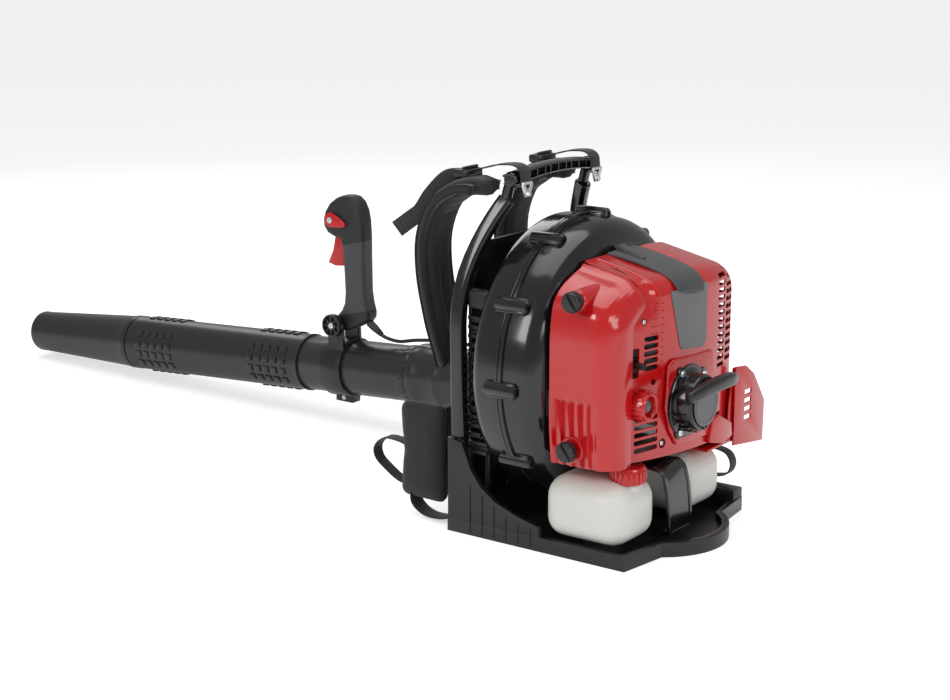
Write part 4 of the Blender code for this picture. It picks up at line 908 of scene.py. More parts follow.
class BLOWER_OT_handle(bpy.types.Operator):
    """Shape the handle clamp, pivot knob, grip shells, trigger and speed lever"""

    bl_idname = "blower.handle"
    bl_label = "Control handle"

    def execute(self, context):
        softened("handle_clamp", "clamp_skin", "frame_black", "pipe_tail", 0.0008)
        bm = bmesh.new()
        screw(bm, facing((0.2010, 0.609, 0.0345), (-1, 0, 0)), 0.0042, 0.003)
        piece("clamp_screw", bm, "plated_steel", "pipe_tail")
        knob_at = Matrix.Translation(
            (HANDLE_X - 0.0245, 0.606, 0.1643)
        ) @ Matrix.Rotation(-math.pi / 2, 4, "Y")
        knob = [
            (0.0, 0.0075),
            (0.0050, 0.0075),
            (0.0060, 0.0090),
            (0.0080, 0.0090),
            (0.0090, 0.0060),
            (0.0150, 0.0060),
            (0.0160, 0.0105),
        ]
        knob += [
            (0.0185, 0.0105),
            (0.0190, 0.0095),
            (0.0190, 0.0008),
            (0.0180, 0.0003),
            (0.0048, 0.0003),
            (0.0048, -0.0480),
            (0.0, -0.0480),
        ]
        bm = spun(knob, 48, closed=False)
        for k in range(8):
            spoke = brick((-0.0011, 0.0070, 0.0050), (0.0011, 0.0170, 0.0098), 0.0005, 1)
            add(bm, spoke, Matrix.Rotation(math.pi * k / 4, 4, "Z"))
        bm.transform(knob_at)
        piece("tilt_knob", bm, "frame_black", "pivot_knob", ("pivot_knob",))
        bm = bmesh.new()
        screw(bm, knob_at @ Matrix.Translation((0, 0, 0.0088)), 0.0052, 0.0030)
        piece("tilt_knob_screw", bm, "plated_steel", "pivot_knob")
        outline = [
            (
                0.5850, 0.3800
            ), (0.5740, 0.3785), (0.5640, 0.3710), (0.5565, 0.3570), (0.5530, 0.3400), (0.5515, 0.3150), (0.5515, 0.2700), (0.5510, 0.2230),
            (
                0.5480, 0.2050
            ), (0.5435, 0.1900), (0.5440, 0.1800), (0.5500, 0.1720), (0.5740, 0.1600), (0.5920, 0.1533), (0.6060, 0.1528), (0.6145, 0.1575),
            (
                0.6175, 0.1660
            ), (0.6120, 0.1773), (0.6020, 0.1880), (0.5960, 0.2000), (0.5940, 0.2180), (0.5950, 0.2450), (0.5965, 0.2700), (0.5985, 0.2950),
            (
                0.6020, 0.3060
            ), (0.6150, 0.3085), (0.6290, 0.3140), (0.6370, 0.3250), (0.6380, 0.3370), (0.6340, 0.3500), (0.6240, 0.3640), (0.6100, 0.3740), (0.5970, 0.3790),
        ]
        for node, side in (("grip_left", -1), ("grip_right", 1)):
            start = HANDLE_X + side * 0.0002
            bm = slab([(start, y, z) for y, z in outline], (side * 0.0155, 0, 0))
            rim = start + side * 0.0155
            edges = [e for e in bm.edges if all(abs(v.co.x - rim) < 1e-6 for v in e.verts)]
            bmesh.ops.bevel(
                bm,
                geom=edges,
                offset=0.0095,
                offset_type="OFFSET",
                segments=6,
                profile=0.5,
                affect="EDGES",
                material=-1,
                clamp_overlap=True,
            )
            for height in (0.3020, 0.1860):
                bmesh.ops.bisect_plane(
                    bm,
                    geom=bm.verts[:] + bm.edges[:] + bm.faces[:],
                    plane_co=(0, 0.575, height),
                    plane_no=(0, 0.25, 1),
                )
            low, high = min(start, start + side * 0.0070), max(start, start + side * 0.0070)
            bm = carve(
                bm,
                brick(
                    (low - 0.001 if side > 0 else low, 0.5780, 0.2530),
                    (high if side > 0 else high + 0.001, 0.6480, 0.3215),
                ),
            )
            for face in bm.faces:
                centre = face.calc_center_median()
                level = centre.z + 0.25 * (centre.y - 0.575)
                face.material_index = 1 if level > 0.3020 or level < 0.1860 else 0
            piece(node + "_skin", bm, ["grip_grey", "grip_dark"], "control_grip", (node,), smooth=30.0)
            # painted shade: a near-black bar on the grip's face stands for the shade in its groove
            groove = brick(
                (rim - side * 0.0009 - 0.0006, 0.5680, 0.2160),
                (rim - side * 0.0009 + 0.0006, 0.5705, 0.2960),
                0.0004,
                1,
            )
            piece(node + "_groove_shade", groove, "seam_dark", "control_grip")
        softened("throttle_trigger", "trigger_skin", "lever_red", "trigger", 0.0, smooth=40.0)
        drop = [
            (0.6150 + 0.0122 * math.cos(a), 0.3380 + 0.0122 * math.sin(a))
            for a in [math.radians(-105 + 15 * k) for k in range(15)]
        ]
        drop += [(0.5950, 0.3420), (0.5850, 0.3350), (0.5832, 0.3322), (0.5850, 0.3295), (0.5950, 0.3270)]
        lever = slab([(LEVER_X, y, z) for y, z in drop], (-0.0058, 0, 0), 0.0022, 3)
        piece("speed_lever_skin", lever, "lever_red", "speed_lever", ("speed_lever",), smooth=40.0)
        bm = bmesh.new()
        screw(bm, facing((0.1778, 0.6150, 0.3380), (-1, 0, 0)), 0.0052, 0.0026)
        piece("speed_lever_screw", bm, "plated_steel", "speed_lever")
        return {"FINISHED"}


# ---------------------------------------------------------------- fan housing and frame


def scroll_ring(y, inset, fine=72):
    """Ring of points round the scroll housing at a depth y, moved inwards by inset."""
    big, small = VOLUTE_RADIUS - inset, SNOUT_RADIUS - inset
    run = SNOUT - VOLUTE
    heading = math.atan2(run.z, run.x)
    spread = math.acos((big - small) / run.length)
    points = []
    for k in range(fine + 1):
        angle = heading + spread + k * (2 * math.pi - 2 * spread) / fine
        points.append(Vector((VOLUTE.x + big * math.cos(angle), y, VOLUTE.z + big * math.sin(angle))))
    for k in range(1, 16):
        angle = heading - spread + k * 2 * spread / 16
        points.append(Vector((SNOUT.x + small * math.cos(angle), y, SNOUT.z + small * math.sin(angle))))
    return points


def rim_boss(angle):
    """Screw boss on the housing's rim: a rounded bar along Y with a saddle under it."""
    radius = VOLUTE_RADIUS + 0.001
    x, z = VOLUTE.x + radius * math.cos(angle), VOLUTE.z + radius * math.sin(angle)
    bar = [
        (0, 0),
        (0.0070, 0),
        (0.0086, 0.0012),
        (0.0092, 0.0030),
        (0.0092, 0.0480),
        (0.0078, 0.0500),
        (0.0045, 0.0500),
        (0.0040, 0.0480),
        (0, 0.0480),
    ]
    bm = spun(bar, 24, closed=False, place=Matrix.Translation((x, 0.0350, z)) @ ALONG_MINUS_Y)
    saddle = brick((-0.0115, -0.0125, -0.0140), (0.0115, 0.0335, 0.0040), 0.0030, 3)
    turn = Matrix.Translation((x, 0.0, z)) @ Matrix.Rotation(-(angle - math.pi / 2), 4, "Y")
    return add(bm, saddle, turn)


class BLOWER_OT_housing(bpy.types.Operator):
    """Form both halves of the scroll housing with rim, bosses and front dome"""

    bl_idname = "blower.housing"
    bl_label = "Fan housing"

    def execute(self, context):
        wall = 0.003
        rear = [
            (0.0153, 0.0),
            (0.0153, -0.0030),
            (0.0160, -0.0040),
            (0.0195, -0.0040),
            (0.0205, -0.0030),
            (0.0210, 0.0),
            (0.0480, 0.0002),
            (0.0540, 0.0015),
            (0.0590, 0.0045),
            (0.0625, 0.0085),
            (0.0640, 0.0140),
        ]
        bm = loft([scroll_ring(y, inset) for y, inset in rear])
        mouth = spun(
            [(0, -0.03), (0.044, -0.03), (0.044, 0.03), (0, 0.03)],
            64,
            closed=False,
            place=Matrix.Translation((SNOUT.x, 0.064, SNOUT.z)) @ ALONG_MINUS_Y,
        )
        bm = carve(bm, mouth)
        for k in range(1, 8):
            turn = math.radians(18 + 33 * k)
            rib = brick((-0.0014, 0.0632, 0.0760), (0.0014, 0.0668, 0.1820), 0.0008, 1)
            add(bm, rib, Matrix.Translation((VOLUTE.x, 0.0, CRANK_Z + 0.012)) @ Matrix.Rotation(turn, 4, "Y"))
        piece("housing_rear_skin", bm, "housing_gloss", "frame", ("volute_rear",), smooth=34.0)
        front = [
            (0.0147, wall),
            (0.0147, -0.0030),
            (0.0140, -0.0040),
            (0.0105, -0.0040),
            (0.0095, -0.0030),
            (0.0090, 0.0),
            (-0.0100, 0.0006),
        ]
        front += [
            (-0.0200, 0.0020),
            (-0.0270, 0.0045),
            (-0.0330, 0.0085),
            (-0.0380, 0.0140),
            (-0.0415, 0.0210),
            (-0.0440, 0.0300),
            (-0.0455, 0.0400),
            (-0.0460, 0.0500),
        ]
        bm = loft([scroll_ring(y, inset) for y, inset in front])
        for k in range(8):
            add(bm, rim_boss(math.radians(18 + 33 * k)))
        for k in range(24):
            turn = math.radians(15 * k)
            add(
                bm,
                brick((-0.0009, -0.0440, 0.1500), (0.0009, -0.0405, 0.1700), 0.0004, 1),
                Matrix.Translation((VOLUTE.x, 0.0, VOLUTE.z)) @ Matrix.Rotation(turn, 4, "Y"),
            )
        piece("housing_front_skin", bm, "housing_gloss", "frame", ("volute_front",), smooth=34.0)
        return {"FINISHED"}


class BLOWER_OT_frame(bpy.types.Operator):
    """Form the base tray, rails, slotted back plate, side grilles, carry handle and hangers"""

    bl_idname = "blower.frame"
    bl_label = "Frame"

    def execute(self, context):
        softened("base", "base_skin", "frame_black", "frame", 0.0016, segments=3)
        bm = bmesh.new()
        for k in range(6):
            y = 0.083 - 0.020 * k
            top = 0.084 - 0.0115 * k
            add(bm, brick((-0.1612, y, 0.004), (-0.1580, y + 0.0016, max(0.030, top - 0.012)), 0.0005, 1))
        for k in range(5):
            x = -0.120 + 0.060 * k
            add(bm, brick((x, 0.1200, 0.004), (x + 0.0016, 0.1232, 0.0280), 0.0005, 1))
        piece("base_ribs", bm, "frame_black", "frame")
        for node in ("rail_left", "rail_right"):
            softened(
                node, node + "_skin", "housing_gloss", "frame", 0.0022, segments=4, angle=20.0, smooth=45.0
            )
        softened("back_frame", "back_plate_skin", "vane_black", "frame", 0.0006, segments=1)
        for side, name in ((-1, "left"), (1, "right")):
            vanes = bmesh.new()
            low, high = sorted((side * 0.1290, side * 0.1440))
            for row in range(16):
                z = 0.112 + 0.0125 * row
                if side > 0 and z < SNOUT.z + 0.068:
                    continue
                vane = brick((low, 0.0670, z), (high, 0.0990, z + 0.0058), 0.0014, 2)
                add(vanes, vane)
            post_low, post_high = sorted((side * 0.1300, side * 0.1385))
            bottom = 0.060 if side < 0 else 0.186
            add(vanes, brick((post_low, 0.0660, bottom), (post_high, 0.0700, 0.3150), 0.0012, 2))
            add(vanes, brick((post_low, 0.0960, bottom), (post_high, 0.1000, 0.3150), 0.0012, 2))
            cap_low, cap_high = sorted((side * 0.1270, side * 0.1450))
            add(vanes, brick((cap_low, 0.0640, 0.3140), (cap_high, 0.1000, 0.3420), 0.0060, 4))
            piece("vanes_" + name, vanes, "vane_black", "frame")
        self.handle()
        for node in ("hook_left", "hook_right"):
            softened(node, node + "_skin", "plated_steel", "frame", 0.0005, segments=2)
        return {"FINISHED"}

    def handle(self):
        """Arched grab handle of an I section with cross ribs, on two legs."""
        path = []
        for k in range(33):
            t = k / 32 * 2 - 1
            path.append(Vector((0.102 * t, 0.060, 0.4950 - 0.008 * t * t)))
        upper = [
            (0.0118 * math.cos(a), 0.0052 + 0.0032 * math.sin(a))
            for a in [math.pi * k / 8 for k in range(16)]
        ]
        lower = [
            (0.0112 * math.cos(a), -0.0056 + 0.0026 * math.sin(a))
            for a in [math.pi * k / 8 for k in range(16)]
        ]
        bm = loft(along(path, upper, (0, 1, 0)))
        add(bm, loft(along(path, lower, (0, 1, 0))))
        web = [(-0.0035, -0.0060), (0.0035, -0.0060), (0.0035, 0.0060), (-0.0035, 0.0060)]
        add(bm, loft(along(path, web, (0, 1, 0))))
        for k in range(1, 12):
            point = path[round(k * 32 / 12)]
            add(
                bm,
                brick(
                    (point.x - 0.0012, 0.0492, point.z - 0.0065),
                    (point.x + 0.0012, 0.0708, point.z + 0.0060),
                    0.0004,
                    1,
                ),
            )
        for side in (-1, 1):
            x = side * 0.0945
            leg = [
                Vector((x, 0.0700, 0.4620)),
                Vector((x, 0.0670, 0.4740)),
                Vector((x - side * 0.002, 0.0620, 0.4880)),
            ]
            add(bm, loft(along(leg, lens(0.018, 0.012, 5), (1, 0, 0))))
            cup = spun(
                [
                    (0, -0.010),
                    (0.0095, -0.010),
                    (0.0112, -0.008),
                    (0.0112, 0.006),
                    (0.0090, 0.0095),
                    (0, 0.0105),
                ],
                32,
                closed=False,
            )
            add(
                bm,
                cup,
                Matrix.Translation(
                    (side * 0.0930, 0.0600, 0.4875)
                ) @ Matrix.Rotation(side * math.pi / 2, 4, "Y"),
            )
        piece("grab_handle", bm, "housing_gloss", "frame", ("carry_handle",), smooth=40.0)


# ---------------------------------------------------------------- tank


class BLOWER_OT_tank(bpy.types.Operator):
    """Blow the two tank lobes, turn the ribbed cap and fold the column between them"""

    bl_idname = "blower.tank"
    bl_label = "Fuel tank"

    def lobe(self, low, high, rim, bulge):
        """A rounded box whose faces swell a little."""
        bm = brick(low, high, rim, 8)
        middle = (Vector(low) + Vector(high)) / 2
        half = (Vector(high) - Vector(low)) / 2
        for axis in range(3):
            for k in range(1, 7):
                spot, normal = middle.copy(), Vector((0, 0, 0))
                spot[axis] = low[axis] + (high[axis] - low[axis]) * k / 7
                normal[axis] = 1.0
                bmesh.ops.bisect_plane(
                    bm, geom=bm.verts[:] + bm.edges[:] + bm.faces[:], plane_co=spot, plane_no=normal
                )
        for vert in bm.verts:
            unit = Vector([(vert.co[i] - middle[i]) / half[i] for i in range(3)])
            for axis, sign_only in ((0, False), (1, True), (2, False)):
                others = [unit[i] for i in range(3) if i != axis]
                amount = bulge * max(0.0, 1 - others[0] ** 2) * max(0.0, 1 - others[1] ** 2)
                if axis == 2 and unit.z < 0:
                    continue
                if sign_only and unit.y > 0:
                    continue
                vert.co[axis] += amount * (1 if unit[axis] > 0 else -1) * min(1.0, abs(unit[axis]))
        return bm

    def execute(self, context):
        left = self.lobe((-0.1560, -0.1550, 0.0215), (-0.0570, -0.0300, 0.1055), 0.028, 0.0032)
        right = self.lobe((0.0210, -0.1490, 0.0215), (0.1300, -0.0300, 0.1015), 0.026, 0.0030)
        bridge = brick((-0.0800, -0.0890, 0.0360), (0.0500, -0.0450, 0.0790), 0.008, 4)
        neck = spun(
            [(0, 0), (0.0220, 0), (0.0205, 0.004), (0.0190, 0.006), (0.0190, 0.0165), (0, 0.0165)],
            40,
            closed=False,
            place=Matrix.Translation((-0.1020, -0.1330, 0.0950)),
        )
        bm = carve(left, bridge, "UNION")
        bm = carve(bm, right, "UNION")
        bm = carve(bm, neck, "UNION")
        piece("tank_skin", bm, "tank_milk", "frame", ("fuel_tank",), smooth=48.0)
        cap = [
            (0, 0.0030),
            (0.0195, 0.0030),
            (0.0205, -0.0030),
            (0.0228, -0.0030),
            (0.0238, -0.0018),
            (0.0238, 0.0170),
            (0.0222, 0.0194),
            (0.0195, 0.0202),
        ]
        cap += [(0.0185, 0.0190), (0.0120, 0.0194), (0.0, 0.0198)]
        place = Matrix.Translation((-0.1020, -0.1330, 0.1063))
        bm = spun(cap, 64, closed=False)
        for k in range(22):
            rib = brick((-0.0017, 0.0225, -0.0010), (0.0017, 0.0252, 0.0162), 0.0009, 2)
            add(bm, rib, Matrix.Rotation(2 * math.pi * k / 22, 4, "Z"))
        bm.transform(place)
        piece("cap_skin", bm, "cover_gloss", "fuel_cap", ("fuel_cap",), smooth=36.0)
        route = [
            (-0.0380, -0.1180, 0.1110),
            (-0.0380, -0.1480, 0.1150),
            (-0.0350, -0.1610, 0.1080),
            (-0.0300, -0.1660, 0.0880),
            (-0.0250, -0.1675, 0.0550),
            (-0.0220, -0.1675, 0.0215),
        ]
        path = smooth_route(route, 6)
        section = [
            (-0.0300, -0.0016),
            (-0.0290, -0.0026),
            (0.0290, -0.0026),
            (0.0300, -0.0016),
            (0.0300, 0.0016),
            (0.0290, 0.0026),
            (0.0240, 0.0026),
            (0.0235, 0.0014),
            (-0.0235, 0.0014),
            (-0.0240, 0.0026),
            (-0.0290, 0.0026),
            (-0.0300, 0.0016),
        ]
        bm = loft(along(path, section, (1, 0, 0)))
        add(bm, brick((-0.0500, -0.1700, 0.0200), (0.0080, -0.1560, 0.0250), 0.0012, 2))
        piece("column_skin", bm, "housing_gloss", "frame", ("tank_strap",), smooth=40.0)
        softened("rubber_mount", "mount_skin", "hose_rubber", "frame", 0.0008)
        return {"FINISHED"}


# ---------------------------------------------------------------- engine covers


def smooth_step(value):
    """Ease from 0 to 1."""
    t = min(1.0, max(0.0, value))
    return t * t * (3 - 2 * t)


def seam_shift(z):
    """How far the seam between the covers steps towards the middle near the top."""
    return 0.030 * smooth_step((z - 0.312) / 0.030)


def front_depth(x):
    """Depth of the front cover's bowed face."""
    across = (x - 0.035) / 0.125
    return -0.145 - 0.016 * (1 - across * across)


def front_shape(co):
    """Bow the front cover forwards, slope its top and bottom and step its seam."""
    x, y, z = co
    forward = min(1.0, max(0.0, (-0.050 - y) / 0.090))
    across = (x - 0.035) / 0.125
    y -= forward * (0.016 * (1 - across * across))
    high = max(0.0, (z - 0.250) / 0.130)
    z -= high * (0.020 * forward + 0.010 * max(0.0, across) ** 2)
    low = max(0.0, (0.230 - z) / 0.100)
    z -= low * 0.012 * (1 + across) * 0.5
    x += seam_shift(z) * smooth_step((-0.050 - x) / 0.063)
    return Vector((x, y, z))


def side_shape(co):
    """Draw the side cover's front corner in, step its seam and press in its flutes."""
    x, y, z = co
    forward = min(1.0, max(0.0, (-0.050 - y) / 0.080))
    z -= max(0.0, (z - 0.250) / 0.125) * 0.014 * forward
    outer = smooth_step((-0.112 - x) / 0.030)
    x += 0.020 * max(0.0, (z - 0.285) / 0.099) ** 2 * outer
    x += 0.006 * max(0.0, (0.200 - z) / 0.070) ** 2 * outer
    fade = smooth_step(
        (0.2205 - z) / 0.0035
    ) * smooth_step((-0.052 - y) / 0.003) * smooth_step((y + 0.121) / 0.003)
    if fade and outer > 0.9:
        sweep = ((-0.052 - y) / 0.0138) % 1.0
        x += 0.0046 * fade * (1 - sweep) ** 0.8
    x += seam_shift(z) * (1 - smooth_step((-0.1125 - x) / 0.050))
    return Vector((x, y, z))


def shell_box(low, high, open_sides, roundings, step, shape, wall=0.0026):
    """Thin-walled box with open sides, rounded edges and a dense grid pushed into shape."""
    bm = bmesh.new()
    bmesh.ops.create_cube(bm, size=1.0)
    low, high = Vector(low), Vector(high)
    bmesh.ops.scale(bm, vec=high - low, verts=bm.verts)
    bmesh.ops.translate(bm, vec=(low + high) / 2, verts=bm.verts)
    bm.normal_update()
    gone = [f for f in bm.faces if any(f.normal.dot(Vector(s)) > 0.9 for s in open_sides)]
    bmesh.ops.delete(bm, geom=gone, context="FACES")
    for test, radius, segments in roundings:
        edges = [e for e in bm.edges if len(e.link_faces) == 2 and test(e)]
        bmesh.ops.bevel(
            bm,
            geom=edges,
            offset=radius,
            offset_type="OFFSET",
            segments=segments,
            profile=0.5,
            affect="EDGES",
            material=-1,
        )
    for axis in range(3):
        normal = Vector((0, 0, 0))
        normal[axis] = 1.0
        count = int((high[axis] - low[axis]) / step[axis])
        for k in range(1, count):
            spot = low.copy()
            spot[axis] = low[axis] + (high[axis] - low[axis]) * k / count
            bmesh.ops.bisect_plane(
                bm, geom=bm.verts[:] + bm.edges[:] + bm.faces[:], plane_co=spot, plane_no=normal
            )
    for vert in bm.verts:
        vert.co = shape(vert.co)
    bm.normal_update()
    bmesh.ops.solidify(bm, geom=bm.faces[:], thickness=wall)
    bmesh.ops.recalc_face_normals(bm, faces=bm.faces)
    return bm


def edge_test(axis, value=None, limits=()):
    """Test for edges lying in a plane across an axis, or running along it if no value is given."""

    def check(edge):
        a, b = edge.verts
        middle = (a.co + b.co) / 2
        if value is None:
            kept = abs((b.co - a.co)[axis]) > 0.9 * (b.co - a.co).length
        else:
            kept = abs(a.co[axis] - value) < 1e-5 and abs(b.co[axis] - value) < 1e-5
        return kept and all(lo < middle[i] < hi for i, lo, hi in limits)

    return check


def bar_slot(x0, x1, z, height, y0=-0.190, y1=-0.118):
    """Cutter for one louvre with round ends."""
    return brick((x0, y0, z), (x1, y1, z + height), height * 0.3, 2)


class BLOWER_OT_front_cover(bpy.types.Operator):
    """Shape the front cover with louvres, grille, label plate, starter boss and rubber pad"""

    bl_idname = "blower.front_cover"
    bl_label = "Front cover"

    def execute(self, context):
        bm = shell_box(
            (-0.1130, -0.1450, 0.130),
            (0.1540, -0.0490, 0.388),
            [(0, 1, 0), (-1, 0, 0), (0, 0, -1)],
            [(edge_test(1, None, [(0, 0.1, 1), (2, 0.3, 1)]), 0.044, 10), (edge_test(1, -0.1450), 0.022, 6)],
            (0.009, 0.011, 0.010),
            front_shape,
        )
        cuts = bmesh.new()
        for row in range(5):
            add(cuts, bar_slot(-0.088, -0.062, 0.2515 + 0.0098 * row, 0.0072))
        for row in range(5):
            add(cuts, bar_slot(-0.103, -0.060, 0.142 + 0.0105 * row, 0.0068))
        add(cuts, brick((-0.1095, -0.190, 0.2450), (-0.0965, -0.118, 0.2850), 0.003, 3))
        for row in range(13):
            z = 0.2230 + 0.0105 * row
            add(cuts, bar_slot(0.0850, 0.1080, z, 0.0064))
            add(cuts, bar_slot(0.1125, 0.1420 - 0.0012 * max(0, row - 9) ** 2, z + 0.0052, 0.0064))
            if row < 11:
                add(cuts, brick((0.1440, -0.1330, z), (0.1700, -0.0900, z + 0.0064), 0.002, 2))
        for row in range(4):
            add(cuts, bar_slot(0.0800, 0.1000, 0.1250 + 0.0095 * row, 0.0060))
        bm = carve(bm, cuts)
        dimples = bmesh.new()
        for x, z, radius in (
            (-0.0500, 0.1470, 0.0068),
            (0.0640, 0.2440, 0.0052),
            (-0.0880, 0.3180, 0.0048),
            (-0.0700, 0.2350, 0.0045),
        ):
            add(
                dimples,
                spun([(0, -0.004), (radius, -0.004), (radius, 0.02), (0, 0.02)], 24, closed=False),
                Matrix.Translation((x, front_depth(x) + 0.0008, z)) @ ALONG_MINUS_Y,
            )
        for row in range(6):
            z = 0.3000 + 0.0098 * row
            add(
                dimples,
                brick(
                    (-0.086, front_depth(-0.075) - 0.006, z),
                    (-0.0625, front_depth(-0.075) + 0.0012, z + 0.0008),
                ),
            )
        for row in range(11):
            z = 0.2500 + 0.0098 * row
            add(
                dimples,
                brick(
                    (-0.0575, front_depth(-0.055) - 0.006, z),
                    (-0.0530, front_depth(-0.055) + 0.0012, z + 0.0012),
                ),
            )
        add(
            dimples,
            brick(
                (-0.0605, front_depth(-0.055) - 0.006, 0.2480),
                (-0.0595, front_depth(-0.055) + 0.0010, 0.3560),
            ),
        )
        bm = carve(bm, dimples)
        piece("front_cover_skin", bm, "cover_gloss", "frame", ("front_cover",), smooth=34.0)
        self.fittings()
        self.rubber()
        return {"FINISHED"}

    def fittings(self):
        """Starter boss, ridges along the top, blank label, screws and the lower shield."""
        boss = [
            (-0.0480, 0.2520),
            (-0.0360, 0.2600),
            (0.0600, 0.2560),
            (0.0740, 0.2460),
            (0.0740, 0.1560),
            (0.0560, 0.1340),
            (-0.0260, 0.1400),
            (-0.0420, 0.1640),
            (-0.0520, 0.1960),
        ]
        bm = slab([(x, -0.1585, z) for x, z in boss], (0, -0.0055, 0), 0.0030, 4)
        for vert in bm.verts:
            vert.co.y += 0.5 * (front_depth(vert.co.x) + 0.161)
        piece("starter_boss", bm, "cover_gloss", "frame")
        bm = bmesh.new()
        ridges = [(-0.062, 0.0045, 0.0042), (0.060, 0.0040, 0.0030)]
        for x, half, lift in ridges:
            path = smooth_route(
                [
                    (x, -0.055, 0.3870),
                    (x, -0.090, 0.3800),
                    (x, -0.120, 0.3720),
                    (x, -0.138, 0.3640),
                    (x, -0.1490, 0.3520),
                ],
                5,
            )
            section = [
                (-half, -0.002),
                (-half * 0.8, lift * 0.7),
                (-half * 0.4, lift),
                (half * 0.4, lift),
                (half * 0.8, lift * 0.7),
                (half, -0.002),
            ]
            add(bm, loft(along([p - Vector((0, 0, 0.0025)) for p in path], section, (1, 0, 0))))
        piece("cover_ridges", bm, "cover_gloss", "frame", smooth=50.0)
        path = smooth_route(
            [
                (-0.070, -0.058, 0.3868),
                (-0.070, -0.090, 0.3802),
                (-0.070, -0.120, 0.3722),
                (-0.070, -0.134, 0.3665),
            ],
            5,
        )
        # painted shade: a near-black strip stands for the shade in the groove along the cover's top
        groove = loft(
            along(
                [p - Vector((0, 0, 0.0028)) for p in path],
                [(-0.0020, -0.001), (-0.0020, 0.0012), (0.0020, 0.0012), (0.0020, -0.001)],
                (1, 0, 0),
            )
        )
        piece("cover_groove_shade", groove, "seam_dark", "frame")
        label = [
            (-0.0410, 0.3520),
            (0.0460, 0.3520),
            (0.0470, 0.2720),
            (0.0400, 0.2640),
            (-0.0140, 0.2690),
            (-0.0190, 0.2760),
        ]
        bm = slab([(x, 0.0, z) for x, z in label], (0, -0.0010, 0))
        for k in range(12):
            bmesh.ops.bisect_plane(
                bm,
                geom=bm.verts[:] + bm.edges[:] + bm.faces[:],
                plane_co=(-0.036 + 0.007 * k, 0, 0),
                plane_no=(1, 0, 0),
            )
        for vert in bm.verts:
            vert.co.y += front_depth(vert.co.x) - 0.0001
        piece("label_plate", bm, "label_grey", "frame", smooth=60.0)
        bm = bmesh.new()
        for x, z in ((-0.0880, 0.3180), (-0.0500, 0.1470), (0.0640, 0.2440)):
            screw(bm, Matrix.Translation((x, front_depth(x) + 0.0022, z)) @ ALONG_MINUS_Y, 0.0036, 0.0022)
        piece("cover_screws", bm, "plated_steel", "frame")
        shield = [
            (0.0620, 0.1560),
            (0.0800, 0.1600),
            (0.1180, 0.1400),
            (0.1210, 0.1200),
            (0.0980, 0.1140),
            (0.0560, 0.1240),
        ]
        bm = slab([(x, -0.1600, z) for x, z in shield], (0, -0.0070, 0), 0.0018, 3)
        add(bm, brick((0.0560, -0.1640, 0.1100), (0.1200, -0.1200, 0.1140), 0.0012, 2))
        piece("lower_shield", bm, "cover_gloss", "frame")
        softened("muffler_guard", "guard_skin", "cover_gloss", "frame", 0.0009, segments=3)
        bm = slab(
            [
                (0.1560, -0.1600, 0.196),
                (0.1560, -0.1600, 0.102),
                (0.1560, -0.1000, 0.104),
                (0.1560, -0.1000, 0.184),
            ],
            (0.0024, 0, 0),
            0.0008,
            2,
        )
        bridge = [(0.1180, 0.1080), (0.1620, 0.1040), (0.1620, 0.2060), (0.1340, 0.2140), (0.1240, 0.1700)]
        add(bm, slab([(x, -0.1565, z) for x, z in bridge], (0, -0.0024, 0), 0.0008, 2))
        piece("guard_wing", bm, "cover_gloss", "frame")

    def rubber(self):
        """Rubber pad folded over the top with a cone-shaped fin at its back corner."""
        route = [
            (0.006, -0.0500, 0.3885),
            (0.006, -0.0750, 0.3850),
            (0.006, -0.1000, 0.3800),
            (0.006, -0.1250, 0.3735),
            (0.004, -0.1440, 0.3670),
            (0.002, -0.1560, 0.3590),
            (0.001, -0.1618, 0.3500),
            (0.000, -0.1635, 0.3440),
        ]
        path = smooth_route(route, 6)

        def width(t):
            half = 0.036 - 0.004 * t
            if t > 0.86:
                half *= math.sqrt(max(0.02, 1 - ((t - 0.86) / 0.14) ** 2))
            return lens(2 * half, 0.0045, 5)

        bm = loft(along(path, width, (1, 0, 0)))
        fin = spun(
            [
                (0, 0),
                (0.0030, 0.0005),
                (0.0065, 0.012),
                (0.0085, 0.034),
                (0.0080, 0.044),
                (0.0050, 0.0490),
                (0, 0.0505),
            ],
            32,
            closed=False,
        )
        add(bm, fin, facing((-0.0100, -0.0960, 0.3830), (0.10, 0.47, 0.085)))
        piece("top_pad_skin", bm, "pad_rubber", "frame", ("top_pad",), smooth=60.0)


